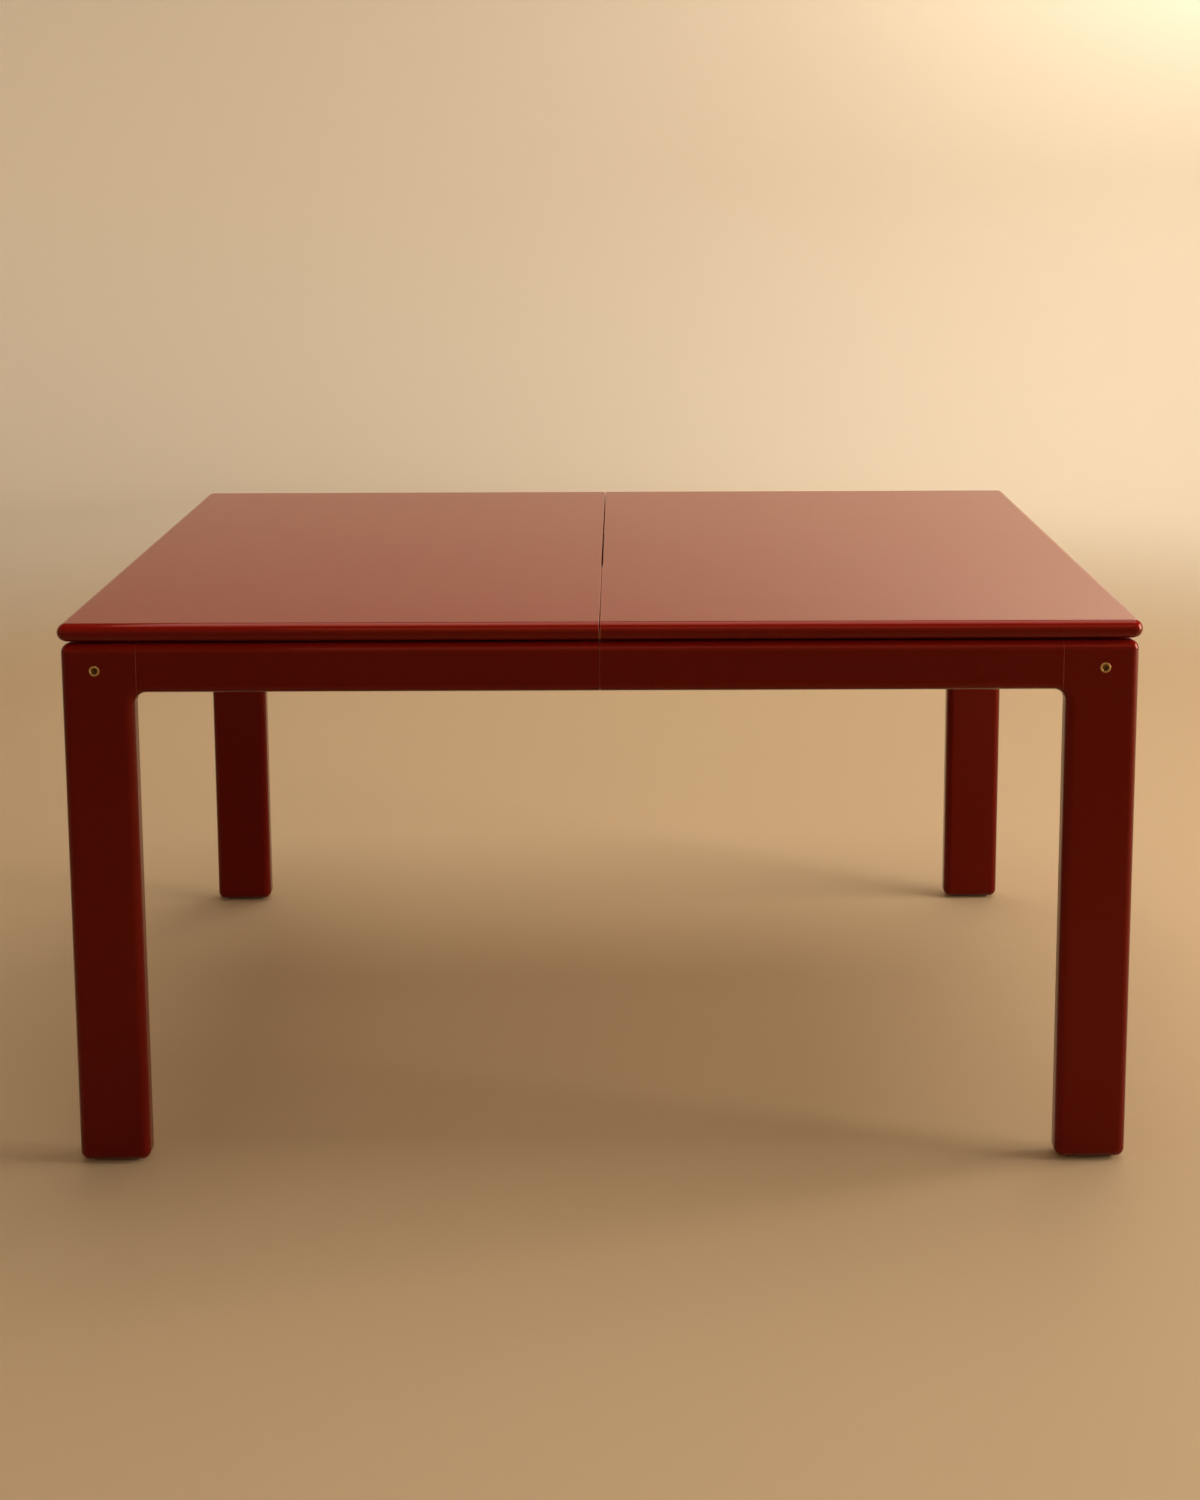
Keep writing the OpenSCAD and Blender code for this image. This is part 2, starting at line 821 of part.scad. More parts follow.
module leaf_stops() {
    color(beech)
    front_and_back()
        for (x = [-bearer_x, bearer_x])
            translate([x - bearer_w / 2, -panel_w / 2 - 2 * hinge_t - leaf_stop_w, leaf_z])
                cube([bearer_w, leaf_stop_w, leaf_stop_h]);
}

// One leaf panel lying flat, its round edge in front and its fold edge behind
module leaf_panel() {
    color(lacquer_red)
    difference() {
        translate([-leaf_l / 2, -panel_w / 2, leaf_z])
            rotate([90, 0, 90]) linear_extrude(leaf_l) bullnose_section(panel_w);
        for (x = [-hinge_spacing, 0, hinge_spacing])
            translate([x - hinge_l / 2 - hinge_play, 0, leaf_z + top_t]) {
                translate([0, panel_w / 2 - hinge_t, -hinge_rise - hinge_h])
                    cube([hinge_l + 2 * hinge_play, hinge_t + cut, hinge_h + hinge_d]);
                translate([0, panel_w / 2, 0])
                    rotate([0, 90, 0]) cylinder(h = hinge_l + 2 * hinge_play, d = hinge_d + barrel_room);
            }
        for (y = leaf_peg_ys) {
            translate([-leaf_l / 2 - cut, y, leaf_z + bull_r])
                rotate([0, 90, 0]) cylinder(h = cut + peg_socket, d = peg_d + 2 * free_fit);
            translate([leaf_l / 2 - peg_in, y, leaf_z + bull_r])
                rotate([0, 90, 0]) cylinder(h = peg_in + cut, d = peg_d + 2 * pin_fit);
        }
    }
}

// Turns the lower panel's shape into the upper one's, folded onto it
module folded_over() {
    translate([0, 0, 2 * (leaf_z + top_t)]) mirror([0, 0, 1]) children();
}

module leaf_pegs() {
    color(brass)
    for (y = leaf_peg_ys, z = [leaf_z + bull_r, leaf_z + top_t + bull_r])
        translate([leaf_l / 2 - peg_in, y, z])
            rotate([0, 90, 0]) cylinder(h = peg_in + peg_out, d = peg_d);
}

// Plate of a leaf hinge below the fold line, with barrels that run from b[0] to b[1]
module hinge_plate(barrels) {
    axis_z = leaf_z + top_t;
    difference() {
        union() {
            translate([-hinge_l / 2, panel_w / 2 - hinge_t, axis_z - hinge_rise - hinge_h])
                cube([hinge_l, hinge_t, hinge_h]);
            for (b = barrels) {
                translate([b[0], panel_w / 2 - hinge_t, axis_z - hinge_rise - 2 * pin_fit])
                    cube([b[1] - b[0], hinge_t, hinge_rise]);
                translate([b[0], panel_w / 2, axis_z])
                    rotate([0, 90, 0]) cylinder(h = b[1] - b[0], d = hinge_d);
            }
        }
        translate([-hinge_l, panel_w / 2, axis_z])
            rotate([0, 90, 0]) cylinder(h = 2 * hinge_l, d = hinge_d / 2 + 2 * pin_fit);
    }
}

module leaf_hinges() {
    third = hinge_l / 6;
    color(brass)
    for (x = [-hinge_spacing, 0, hinge_spacing])
        translate([x, 0, 0]) {
            hinge_plate([[-hinge_l / 2, -third - hinge_play], [third + hinge_play, hinge_l / 2]]);
            folded_over() hinge_plate([[-third, third]]);
        }
}

module leaf_hinge_pins() {
    color(steel)
    for (x = [-hinge_spacing, 0, hinge_spacing])
        translate([x - hinge_l / 2, panel_w / 2, leaf_z + top_t])
            rotate([0, 90, 0]) cylinder(h = hinge_l, d = hinge_d / 2);
}

module latch_plates() {
    color(steel)
    front_and_back()
        difference() {
            translate([plate_x0, -latch_y - plate_w / 2, under_z - plate_t])
                cube([plate_x1 - plate_x0, plate_w, plate_t]);
            translate([latch_pivot_x, -latch_y, under_z - 2 * plate_t])
                cylinder(h = 3 * plate_t, d = latch_pin_d + 2 * pin_fit);
            for (p = plate_points)
                translate([p[0], p[1], under_z - plate_t]) screw_hole(plate_t + cut);
        }
}

module latch_pivots() {
    color(steel)
    front_and_back()
        translate([latch_pivot_x, -latch_y, 0]) {
            translate([0, 0, arm_z - near_gap])
                cylinder(h = under_z - arm_z + near_gap, d = latch_pin_d);
            translate([0, 0, arm_z - near_gap - latch_head_t])
                cylinder(h = latch_head_t, d = latch_head_d);
        }
}

// Hooked arm parked along the seam; it swings over to the stud to lock
module latch() {
    color(steel)
    translate([latch_pivot_x, -latch_y, arm_z])
        rotate([0, 0, -90])
            linear_extrude(latch_t)
                difference() {
                    union() {
                        circle(d = latch_w);
                        translate([0, -latch_w / 2]) square([latch_arm, latch_w]);
                        translate([latch_arm, 0]) circle(d = latch_w);
                    }
                    circle(d = latch_pin_d + 2 * pin_fit);
                    translate([latch_arm, 0]) circle(d = latch_pin_d + 2 * free_fit);
                    intersection() {
                        difference() {
                            circle(latch_arm + latch_pin_d / 2 + free_fit);
                            circle(latch_arm - latch_pin_d / 2 - free_fit);
                        }
                        translate([latch_arm / 2, 0]) square([latch_arm, latch_w]);
                    }
                }
}

module latch_keepers() {
    color(steel)
    front_and_back()
        difference() {
            union() {
                translate([plate_seam, -latch_y - plate_w / 2, under_z - plate_t])
                    cube([keeper_x1 - plate_seam, plate_w, plate_t]);
                translate([stud_x, -latch_y, arm_z - stud_out])
                    cylinder(h = under_z - arm_z, d = latch_pin_d);
            }
            for (p = keeper_points)
                translate([p[0], p[1], under_z - plate_t]) screw_hole(plate_t + cut);
        }
}

// Screws of the latch plates, part of the small screws of each half
module plate_screws(points) {
    color(steel)
    front_and_back()
        for (p = points)
            translate([p[0], p[1], under_z - plate_t])
                screw(plate_t + screw_bite);
}

module to_right() {
    mirror([1, 0, 0]) children();
}

module to_back() {
    mirror([0, 1, 0]) children();
}

// The inner member is the outer one turned half round
module turned() {
    rotate([0, 0, 180]) children();
}

top_left();
top_right();
at_corner() leg();  // leg_front_left
to_back() at_corner() leg();  // leg_back_left
to_right() at_corner() leg();  // leg_front_right
to_right() to_back() at_corner() leg();  // leg_back_right
at_corner() apron_with_peg_hole(peg_in, peg_d + 2 * pin_fit);  // apron_front_left
to_back() at_corner() apron_with_peg_hole(peg_in, peg_d + 2 * pin_fit);  // apron_back_left
to_right() at_corner() apron_with_peg_hole(peg_socket, peg_d + 2 * free_fit);  // apron_front_right
to_right() to_back() at_corner() apron_with_peg_hole(peg_socket, peg_d + 2 * free_fit);  // apron_back_right
end_rail();  // end_rail_left
to_right() end_rail();  // end_rail_right
front_and_back() at_corner() corner_block();  // corner_blocks_left
to_right() front_and_back() at_corner() corner_block();  // corner_blocks_right
battens();  // battens_left
to_right() battens();  // battens_right
front_and_back() at_corner() foot_pad();  // foot_pads_left
to_right() front_and_back() at_corner() foot_pad();  // foot_pads_right
front_and_back() at_corner() leg_bolt();  // leg_bolts_left
to_right() front_and_back() at_corner() leg_bolt();  // leg_bolts_right
front_and_back() at_corner() cup_washer();  // cup_washers_left
to_right() front_and_back() at_corner() cup_washer();  // cup_washers_right
front_and_back() at_corner() barrel_nut();  // barrel_nuts_left
to_right() front_and_back() at_corner() barrel_nut();  // barrel_nuts_right
frame_dowels();  // frame_dowels_left
to_right() frame_dowels();  // frame_dowels_right
seam_pegs();
at_runner() side_member();  // runner_left_front
to_back() at_runner() side_member();  // runner_left_back
at_runner() turned() side_member();  // runner_right_front
to_back() at_runner() turned() side_member();  // runner_right_back
at_runner() centre_member();  // runner_centre_front
to_back() at_runner() centre_member();  // runner_centre_back
front_and_back() at_runner() rack(left_phase);  // racks_left
front_and_back() at_runner() turned() rack(right_phase);  // racks_right
at_runner() pinion();  // pinion_front
to_back() at_runner() pinion();  // pinion_back
front_and_back() at_runner() pinion_pin();  // pinion_pins
front_and_back() at_runner() stop_block();  // stop_blocks_left
front_and_back() at_runner() turned() stop_block();  // stop_blocks_right
front_and_back() at_runner() runner_screws();  // runner_screws_left
front_and_back() at_runner() turned() runner_screws();  // runner_screws_right
union() {  // batten_screws_left
    batten_screws();
    plate_screws(plate_points);
}
union() {  // batten_screws_right
    to_right() batten_screws();
    plate_screws(keeper_points);
}
leaf_bearers();
bearer_screws();
leaf_stops();
leaf_panel();  // leaf_panel_lower
folded_over() leaf_panel();  // leaf_panel_upper
leaf_hinges();
leaf_hinge_pins();
leaf_pegs();
latch_plates();
latch_pivots();
latch();  // latch_front
to_back() latch();  // latch_back
latch_keepers();
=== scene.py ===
import json
from math import cos, pi, radians, sin

import bmesh
import bpy
from mathutils import Matrix, Vector


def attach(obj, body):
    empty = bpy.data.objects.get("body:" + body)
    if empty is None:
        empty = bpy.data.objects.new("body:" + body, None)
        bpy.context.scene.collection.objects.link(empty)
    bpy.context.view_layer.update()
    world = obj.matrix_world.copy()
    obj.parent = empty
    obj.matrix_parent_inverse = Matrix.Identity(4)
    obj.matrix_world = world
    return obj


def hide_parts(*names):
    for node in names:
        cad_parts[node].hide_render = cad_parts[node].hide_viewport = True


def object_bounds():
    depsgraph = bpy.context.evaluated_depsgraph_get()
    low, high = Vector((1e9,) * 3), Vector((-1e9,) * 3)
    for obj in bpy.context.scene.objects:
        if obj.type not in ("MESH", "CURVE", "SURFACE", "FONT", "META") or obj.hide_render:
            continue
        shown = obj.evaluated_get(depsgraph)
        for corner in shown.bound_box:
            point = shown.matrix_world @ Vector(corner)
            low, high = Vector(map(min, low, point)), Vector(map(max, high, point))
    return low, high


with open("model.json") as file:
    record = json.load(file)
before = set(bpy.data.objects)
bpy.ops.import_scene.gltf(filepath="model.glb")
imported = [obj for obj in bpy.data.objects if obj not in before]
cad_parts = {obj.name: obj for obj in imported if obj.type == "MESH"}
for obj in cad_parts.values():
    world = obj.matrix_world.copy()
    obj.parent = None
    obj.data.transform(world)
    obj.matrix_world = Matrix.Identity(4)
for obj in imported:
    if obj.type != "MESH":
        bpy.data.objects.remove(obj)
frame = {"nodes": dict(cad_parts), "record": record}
cad_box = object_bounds()
cad = frame["nodes"]
home = {node: body for body, group in frame["record"]["behaviour"]["bodies"].items() for node in group}
MM = 0.001

# Legs
# Four planks of beech, rounded all along, with a shoulder on two sides that carries the round edge
# through a hollow into the apron and the end rail. Sprayed red and polished, so the joints show as hairlines.
LEGS = ("leg_front_left", "leg_back_left", "leg_front_right", "leg_back_right")
LEG_ARRIS = 0.55 * MM
# How strongly the arrises show the paler rub, which is partly wear and partly a painted highlight.
LEG_RUB_AND_HIGHLIGHT = 0.4
SPRAYED_RED = "#640f08"
SPRAYED_DEEP = "#550c06"
# Painted light from above: the lighter, warmer red drawn on faces that look up.
PAINTED_TOPLIGHT_RED = "#8a180c"
FILLED_PORES = "#430a04"
# Partly wear and partly a painted highlight: the pale pink drawn along the rounded arrises.
RUBBED_AND_HIGHLIT_EDGE = "#c07058"
REFLECTED_RED = "#f08466"
# Painted shade: the darker red that the cut faces in the middle seam are drawn in.
SEAM_SHADE_RED = "#470a05"
UNBUFFED_ROUGHNESS = 0.7
BUFFED_ROUGHNESS = (0.04, 0.10)
DRIFT_PATCH = 450 * MM
PORE_WIDE, PORE_LONG = 3.5 * MM, 175 * MM
PORES_SHOW = 0.12
RUB_AND_HIGHLIGHT_PATCH = 110 * MM
RUB_AND_HIGHLIGHT_SHOWS = 0.85
HAZE_PATCH = 70 * MM
PEEL_WIDE, PEEL_DEEP = 7 * MM, 0.010 * MM
WAVE_WIDE, WAVE_DEEP = 55 * MM, 0.10 * MM
SMALLEST_ARRIS = 1.2 * MM
ARRIS_STEPS = 3
SHARP = radians(35)
FLAT = radians(0.1)
WELD = 0.002 * MM


def linear(hexed):
    """An sRGB hex colour as linear light."""
    parts = [int(hexed[i:i + 2], 16) / 255 for i in (1, 3, 5)]
    return tuple(c / 12.92 if c <= 0.04045 else ((c + 0.055) / 1.055) ** 2.4 for c in parts) + (1.0,)


def add(tree, kind, sockets=None, **settings):
    """A node with its settings, whose sockets take a value or another node's output."""
    made = tree.nodes.new(kind)
    for name, value in settings.items():
        setattr(made, name, value)
    for key, value in (sockets or {}).items():
        if isinstance(value, bpy.types.NodeSocket):
            tree.links.new(value, made.inputs[key])
        else:
            made.inputs[key].default_value = value
    return made


def finish(name, roughness, ior=1.5, metallic=0.0):
    """A material with its shader, and the place on the object that its patterns are read from."""
    material = bpy.data.materials.new(name)
    material.use_nodes = True
    tree = material.node_tree
    tree.nodes.clear()
    shader = add(tree, "ShaderNodeBsdfPrincipled", {"Roughness": roughness, "IOR": ior, "Metallic": metallic})
    out = add(tree, "ShaderNodeOutputMaterial")
    tree.links.new(shader.outputs["BSDF"], out.inputs["Surface"])
    place = add(tree, "ShaderNodeTexCoord").outputs["Object"]
    return material, tree, shader, place


def polished_lacquer(name, turn):
    """Pigmented lacquer, sprayed over beech and buffed: a mirror with a trace of orange peel, buffing
    haze and slow waves, a pigment that drifts slightly from panel to panel and is painted lighter and
    warmer where it looks up, as painted light from above, the wood's filled pores as faint streaks, and
    a paler rub along the arrises, partly wear and partly a painted highlight. Seen straight on it mirrors
    in its own red, and only at a slant in the room's colours. Faces marked unbuffed are matt, and painted
    darker as shade in the seam. Pores and peel are drawn coarser than they are, so that they show.
    turn lays the streaks, which run along X."""
    material, tree, shader, place = finish(name, roughness=0.07)
    shader.inputs["Specular Tint"].default_value = linear(REFLECTED_RED)
    drift = add(tree, "ShaderNodeTexNoise", {"Vector": place, "Scale": 1 / DRIFT_PATCH, "Detail": 3.0})
    pigment = add(tree, "ShaderNodeMix", {0: drift.outputs["Fac"], 6: linear(SPRAYED_DEEP),
                                          7: linear(SPRAYED_RED)}, data_type="RGBA")
    facing = add(tree, "ShaderNodeTexCoord").outputs["Normal"]
    upwards = add(tree, "ShaderNodeSeparateXYZ", {"Vector": facing}).outputs["Z"]
    # Painted light: faces that look up are drawn in a lighter, warmer red, as if lit from above.
    painted_toplight = add(tree, "ShaderNodeMapRange", {"Value": upwards, "From Min": 0.05, "From Max": 0.6})
    pigment = add(tree, "ShaderNodeMix", {0: painted_toplight.outputs["Result"], 6: pigment.outputs[2],
                                          7: linear(PAINTED_TOPLIGHT_RED)}, data_type="RGBA")
    along = add(tree, "ShaderNodeMapping", {"Vector": place, "Rotation": turn}).outputs["Vector"]
    drawn = add(tree, "ShaderNodeMapping", {"Vector": along, "Scale": (PORE_WIDE / PORE_LONG, 1.0, 1.0)})
    pores = add(tree, "ShaderNodeTexNoise", {"Vector": drawn.outputs["Vector"], "Scale": 1 / PORE_WIDE,
                                             "Detail": 4.0, "Roughness": 0.6})
    streak = add(tree, "ShaderNodeMapRange", {"Value": pores.outputs["Fac"], "From Min": 0.5,
                                              "From Max": 0.78, "To Max": PORES_SHOW})
    streaked = add(tree, "ShaderNodeMix", {0: streak.outputs["Result"], 6: pigment.outputs[2],
                                           7: linear(FILLED_PORES)}, data_type="RGBA")
    # A paler colour along the arrises, partly wear and partly a painted highlight.
    rub_and_highlight = add(tree, "ShaderNodeTexNoise", {"Vector": place, "Scale": 1 / RUB_AND_HIGHLIGHT_PATCH, "Detail": 4.0})
    rubbed = add(tree, "ShaderNodeMapRange", {"Value": rub_and_highlight.outputs["Fac"], "From Min": 0.25,
                                              "From Max": 0.8, "To Max": RUB_AND_HIGHLIGHT_SHOWS})
    arris = add(tree, "ShaderNodeAttribute", attribute_name="arris")
    worn_and_highlit = add(tree, "ShaderNodeMath", {0: rubbed.outputs["Result"], 1: arris.outputs["Fac"]},
               operation="MULTIPLY")
    colour = add(tree, "ShaderNodeMix", {0: worn_and_highlit.outputs["Value"], 6: streaked.outputs[2],
                                         7: linear(RUBBED_AND_HIGHLIT_EDGE)}, data_type="RGBA")
    # The seam faces are matt, and drawn darker as painted shade in the seam.
    unbuffed_and_shaded = add(tree, "ShaderNodeAttribute", attribute_name="unbuffed_and_shaded").outputs["Fac"]
    colour = add(tree, "ShaderNodeMix", {0: unbuffed_and_shaded, 6: colour.outputs[2], 7: linear(SEAM_SHADE_RED)},
                 data_type="RGBA")
    tree.links.new(colour.outputs[2], shader.inputs["Base Color"])
    haze = add(tree, "ShaderNodeTexNoise", {"Vector": place, "Scale": 1 / HAZE_PATCH, "Detail": 5.0,
                                            "Roughness": 0.65})
    smoothest, hazy = BUFFED_ROUGHNESS
    gloss = add(tree, "ShaderNodeMapRange", {"Value": haze.outputs["Fac"], "From Min": 0.3, "From Max": 0.75,
                                             "To Min": smoothest, "To Max": hazy})
    gloss = add(tree, "ShaderNodeMix", {0: unbuffed_and_shaded, 2: gloss.outputs["Result"], 3: UNBUFFED_ROUGHNESS})
    tree.links.new(gloss.outputs[0], shader.inputs["Roughness"])
    peel = add(tree, "ShaderNodeTexNoise", {"Vector": place, "Scale": 1 / PEEL_WIDE, "Detail": 1.0})
    peeled = add(tree, "ShaderNodeBump", {"Height": peel.outputs["Fac"], "Strength": 1.0,
                                          "Distance": PEEL_DEEP})
    wave = add(tree, "ShaderNodeTexNoise", {"Vector": place, "Scale": 1 / WAVE_WIDE, "Detail": 0.0})
    waved = add(tree, "ShaderNodeBump", {"Height": wave.outputs["Fac"], "Strength": 1.0,
                                         "Distance": WAVE_DEEP, "Normal": peeled.outputs["Normal"]})
    tree.links.new(waved.outputs["Normal"], shader.inputs["Normal"])
    return material


def eased(node, ease, least=SMALLEST_ARRIS, rub_and_highlight=1.0):
    """A welded copy of a CAD node whose outer arrises, longer than least, are rounded by ease."""
    shape = bmesh.new()
    shape.from_mesh(cad[node].data)
    bmesh.ops.remove_doubles(shape, verts=shape.verts, dist=WELD)
    bmesh.ops.dissolve_limit(shape, angle_limit=FLAT, verts=shape.verts, edges=shape.edges)
    arris = shape.loops.layers.float.new("arris")
    picked = [e for e in shape.edges if e.is_manifold and e.is_convex
              and e.calc_face_angle() > SHARP and e.calc_length() > least]
    rounded = bmesh.ops.bevel(shape, geom=picked, offset=ease, segments=ARRIS_STEPS, profile=0.5,
                              affect="EDGES", clamp_overlap=False)
    # The rounded arrises take the paler rub, partly wear and partly a painted highlight.
    for face in rounded["faces"]:
        for loop in face.loops:
            loop[arris] = rub_and_highlight
    return to_piece(shape, node)


def to_piece(shape, name):
    """The bmesh as an object with smooth rounds, flat faces and crisp edges between them."""
    mesh = bpy.data.meshes.new(name + ".piece")
    shape.to_mesh(mesh)
    shape.free()
    # The solids' own normals don't fit a mesh with rounded arrises.
    if "custom_normal" in mesh.attributes:
        mesh.attributes.remove(mesh.attributes["custom_normal"])
    mesh.materials.clear()
    mesh.polygons.foreach_set("use_smooth", [True] * len(mesh.polygons))
    mesh.set_sharp_from_angle(angle=SHARP)
    piece = bpy.data.objects.new(name + ".piece", mesh)
    bpy.context.scene.collection.objects.link(piece)
    shading = piece.modifiers.new("Even shading", "WEIGHTED_NORMAL")
    shading.keep_sharp = True
    return piece


def fit(piece, node, material):
    """Puts a finished piece in the place of its CAD node."""
    piece.data.materials.append(material)
    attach(piece, home[node])
    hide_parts(node)


lacquer_upright = polished_lacquer("polished_red_lacquer_upright", (0, pi / 2, 0))
for leg in LEGS:
    fit(eased(leg, LEG_ARRIS, rub_and_highlight=LEG_RUB_AND_HIGHLIGHT), leg, lacquer_upright)

# Aprons and end rails
# Rails of the same section as the legs, doweled and glued to their shoulders. The front and back aprons
# are cut in the middle, where the two half tables part. The cut is sprayed too, but never buffed, and its
# faces are painted darker as shade in the seam.
APRONS = ("apron_front_left", "apron_back_left", "apron_front_right", "apron_back_right")
APRON_ARRIS = 0.4 * MM
# How strongly the arrises show the paler rub, which is partly wear and partly a painted highlight.
APRON_RUB_AND_HIGHLIGHT = 0.8
NEAR_SEAM = 0.6 * MM
SQUARE_ON = 0.99


def marked(piece):
    """Marks the faces of a piece that meet the other half in the middle as unbuffed, to be drawn matt and
    darker as painted shade.
    """
    mark = piece.data.attributes.new("unbuffed_and_shaded", "FLOAT", "FACE")
    for face in piece.data.polygons:
        if abs(face.center.x) < NEAR_SEAM and abs(face.normal.x) > SQUARE_ON:
            mark.data[face.index].value = 1.0
    return piece


lacquer_lengthways = polished_lacquer("polished_red_lacquer_lengthways", (0, 0, 0))
lacquer_crossways = polished_lacquer("polished_red_lacquer_crossways", (0, 0, pi / 2))
for apron in APRONS:
    fit(marked(eased(apron, APRON_ARRIS, rub_and_highlight=APRON_RUB_AND_HIGHLIGHT)), apron, lacquer_lengthways)
for rail in ("end_rail_left", "end_rail_right"):
    fit(eased(rail, LEG_ARRIS, rub_and_highlight=LEG_RUB_AND_HIGHLIGHT), rail, lacquer_crossways)

# Foot pads
# Strips of pressed wool felt, cut with rounded ends and glued under the legs. They are drawn dark brown,
# as painted shade for the dark line under each foot, and the fibres, drawn coarser than they are, stand up
# a little on the cut edge.
# Painted shade: the felt is drawn dark so that each foot ends in a dark line on the floor.
SHADED_FELT_BROWN = "#3b3029"
SHADED_FELT_LIGHT = "#5d4e42"
FIBRE_WIDE, FIBRE_PROUD = 1.2 * MM, 0.25 * MM
felt, tree, shader, place = finish("pressed_wool_felt", roughness=0.95)
shader.inputs["Sheen Weight"].default_value = 0.4
shader.inputs["Sheen Roughness"].default_value = 0.6
fibres = add(tree, "ShaderNodeTexNoise", {"Vector": place, "Scale": 1 / FIBRE_WIDE, "Detail": 6.0,
                                          "Roughness": 0.7, "Distortion": 1.5})
wool = add(tree, "ShaderNodeMix", {0: fibres.outputs["Fac"], 6: linear(SHADED_FELT_BROWN), 7: linear(SHADED_FELT_LIGHT)},
           data_type="RGBA")
tree.links.new(wool.outputs[2], shader.inputs["Base Color"])
nap = add(tree, "ShaderNodeBump", {"Height": fibres.outputs["Fac"], "Strength": 0.8,
                                   "Distance": FIBRE_PROUD})
tree.links.new(nap.outputs["Normal"], shader.inputs["Normal"])
for pads in ("foot_pads_left", "foot_pads_right"):
    fit(eased(pads, ease=0.5 * MM, least=0.4 * MM), pads, felt)

# Dowels
# Fluted beech dowels, two in each joint of leg and rail, buried in glue and never seen. They keep
# the solids of the model and take the bare wood's finish.
BEECH_PALE = "#d9b384"
BEECH_BROWN = "#c2925f"
BEECH_FLECK = "#8f6138"
RING_WIDE, RING_LONG = 11.36 * MM, 208.3 * MM
RAY_WIDE, RAY_LONG = 1.6 * MM, 10 * MM
RAY_DEEP = 0.06 * MM


def beech(name, turn):
    """Steamed beech, planed and oiled: rings as soft bands along the grain, and on top the short
    brown flecks of the rays. turn lays the grain, which runs along X, in the piece's own direction."""
    material, tree, shader, place = finish(name, roughness=0.5)
    along = add(tree, "ShaderNodeMapping", {"Vector": place, "Rotation": turn}).outputs["Vector"]
    drawn = add(tree, "ShaderNodeMapping", {"Vector": along, "Scale": (RING_WIDE / RING_LONG, 1.0, 1.0)})
    rings = add(tree, "ShaderNodeTexNoise", {"Vector": drawn.outputs["Vector"], "Scale": 1 / RING_WIDE,
                                             "Detail": 4.0, "Roughness": 0.6, "Distortion": 0.4})
    banded = add(tree, "ShaderNodeMapRange", {"Value": rings.outputs["Fac"], "From Min": 0.34,
                                              "From Max": 0.66})
    wood = add(tree, "ShaderNodeMix", {0: banded.outputs["Result"], 6: linear(BEECH_BROWN),
                                       7: linear(BEECH_PALE)}, data_type="RGBA")
    grain = add(tree, "ShaderNodeMapping", {"Vector": along, "Scale": (RAY_WIDE / RAY_LONG, 1.0, 1.0)})
    rays = add(tree, "ShaderNodeTexVoronoi", {"Vector": grain.outputs["Vector"], "Scale": 1 / RAY_WIDE,
                                              "Randomness": 1.0})
    fleck = add(tree, "ShaderNodeMapRange", {"Value": rays.outputs["Distance"], "From Min": 0.10,
                                             "From Max": 0.30, "To Min": 0.6, "To Max": 0.0})
    flecked = add(tree, "ShaderNodeMix", {0: fleck.outputs["Result"], 6: wood.outputs[2],
                                          7: linear(BEECH_FLECK)}, data_type="RGBA")
    tree.links.new(flecked.outputs[2], shader.inputs["Base Color"])
    satin = add(tree, "ShaderNodeMapRange", {"Value": rings.outputs["Fac"], "To Min": 0.42, "To Max": 0.6})
    tree.links.new(satin.outputs["Result"], shader.inputs["Roughness"])
    planed = add(tree, "ShaderNodeBump", {"Height": rays.outputs["Distance"], "Strength": 0.5,
                                          "Distance": RAY_DEEP})
    tree.links.new(planed.outputs["Normal"], shader.inputs["Normal"])
    return material


beech_lengthways = beech("oiled_beech_lengthways", (0, 0, 0))
beech_crossways = beech("oiled_beech_crossways", (0, 0, pi / 2))
beech_upright = beech("oiled_beech_upright", (0, pi / 2, 0))


def dress(node, material):
    """Gives a CAD node that keeps its own shape its finish."""
    cad[node].material_slots[0].material = material


for dowels in ("frame_dowels_left", "frame_dowels_right"):
    dress(dowels, beech_lengthways)

# Corner blocks
# Stout blocks of beech with a chamfered inner side, glued and bolted into each corner behind the leg.
# Their grain stands upright, and the saw's chamfers are only lightly sanded.
for blocks in ("corner_blocks_left", "corner_blocks_right"):
    fit(eased(blocks, ease=0.8 * MM), blocks, beech_upright)

# Leg bolts
# Brass socket bolts that draw each leg to its corner block. The turned head lies in a thin cup washer
# that is let into the lacquer, with only its rolled rim standing proud, and a barrel nut takes the thread.
LEG_FACE = max(vert.co.y for vert in cad["leg_back_left"].data.vertices)
BOLT_R = 3.0 * MM
TIP_R, TIP_LONG = 2.4 * MM, 1.0 * MM
# Sizes along a bolt are measured inwards from the face of its leg.
BOLT_LONG = 70.0 * MM
HEAD_R = 4.24 * MM
HEAD_FACE = 1.42 * MM
HEAD_EDGE = 0.45 * MM
SOCKET_WIDE = 5.0 * MM
SOCKET_DEEP = 3.5 * MM
DISH_R, DISH_SLANT = 3.0 * MM, 0.25 * MM
DISH_DEEP, DISH_EDGE = 0.33 * MM, 0.08 * MM
SEAT = 7.4 * MM
CUP_BORE_R = 4.46 * MM
CUP_R = 5.04 * MM
CUP_FLOOR = 1.0 * MM
CUP_HOLE_R = 3.1 * MM
CUP_NECK = 0.26 * MM
RIM_R = 6.98 * MM
RIM_PROUD = 0.38 * MM
RIM_BACK = 0.78 * MM
BRASS_CLEAN = "#d8b577"
BRASS_DULL = "#a37f4a"
BRASS_BROWNED = "#7d5c33"
BRASS_DARK = "#4a351c"
STEEL_GREY = "#9a9da0"
STEEL_DARK = "#6f7275"
TURNING_WIDE, TURNING_DEEP = 0.8 * MM, 0.03 * MM
AROUND = 48


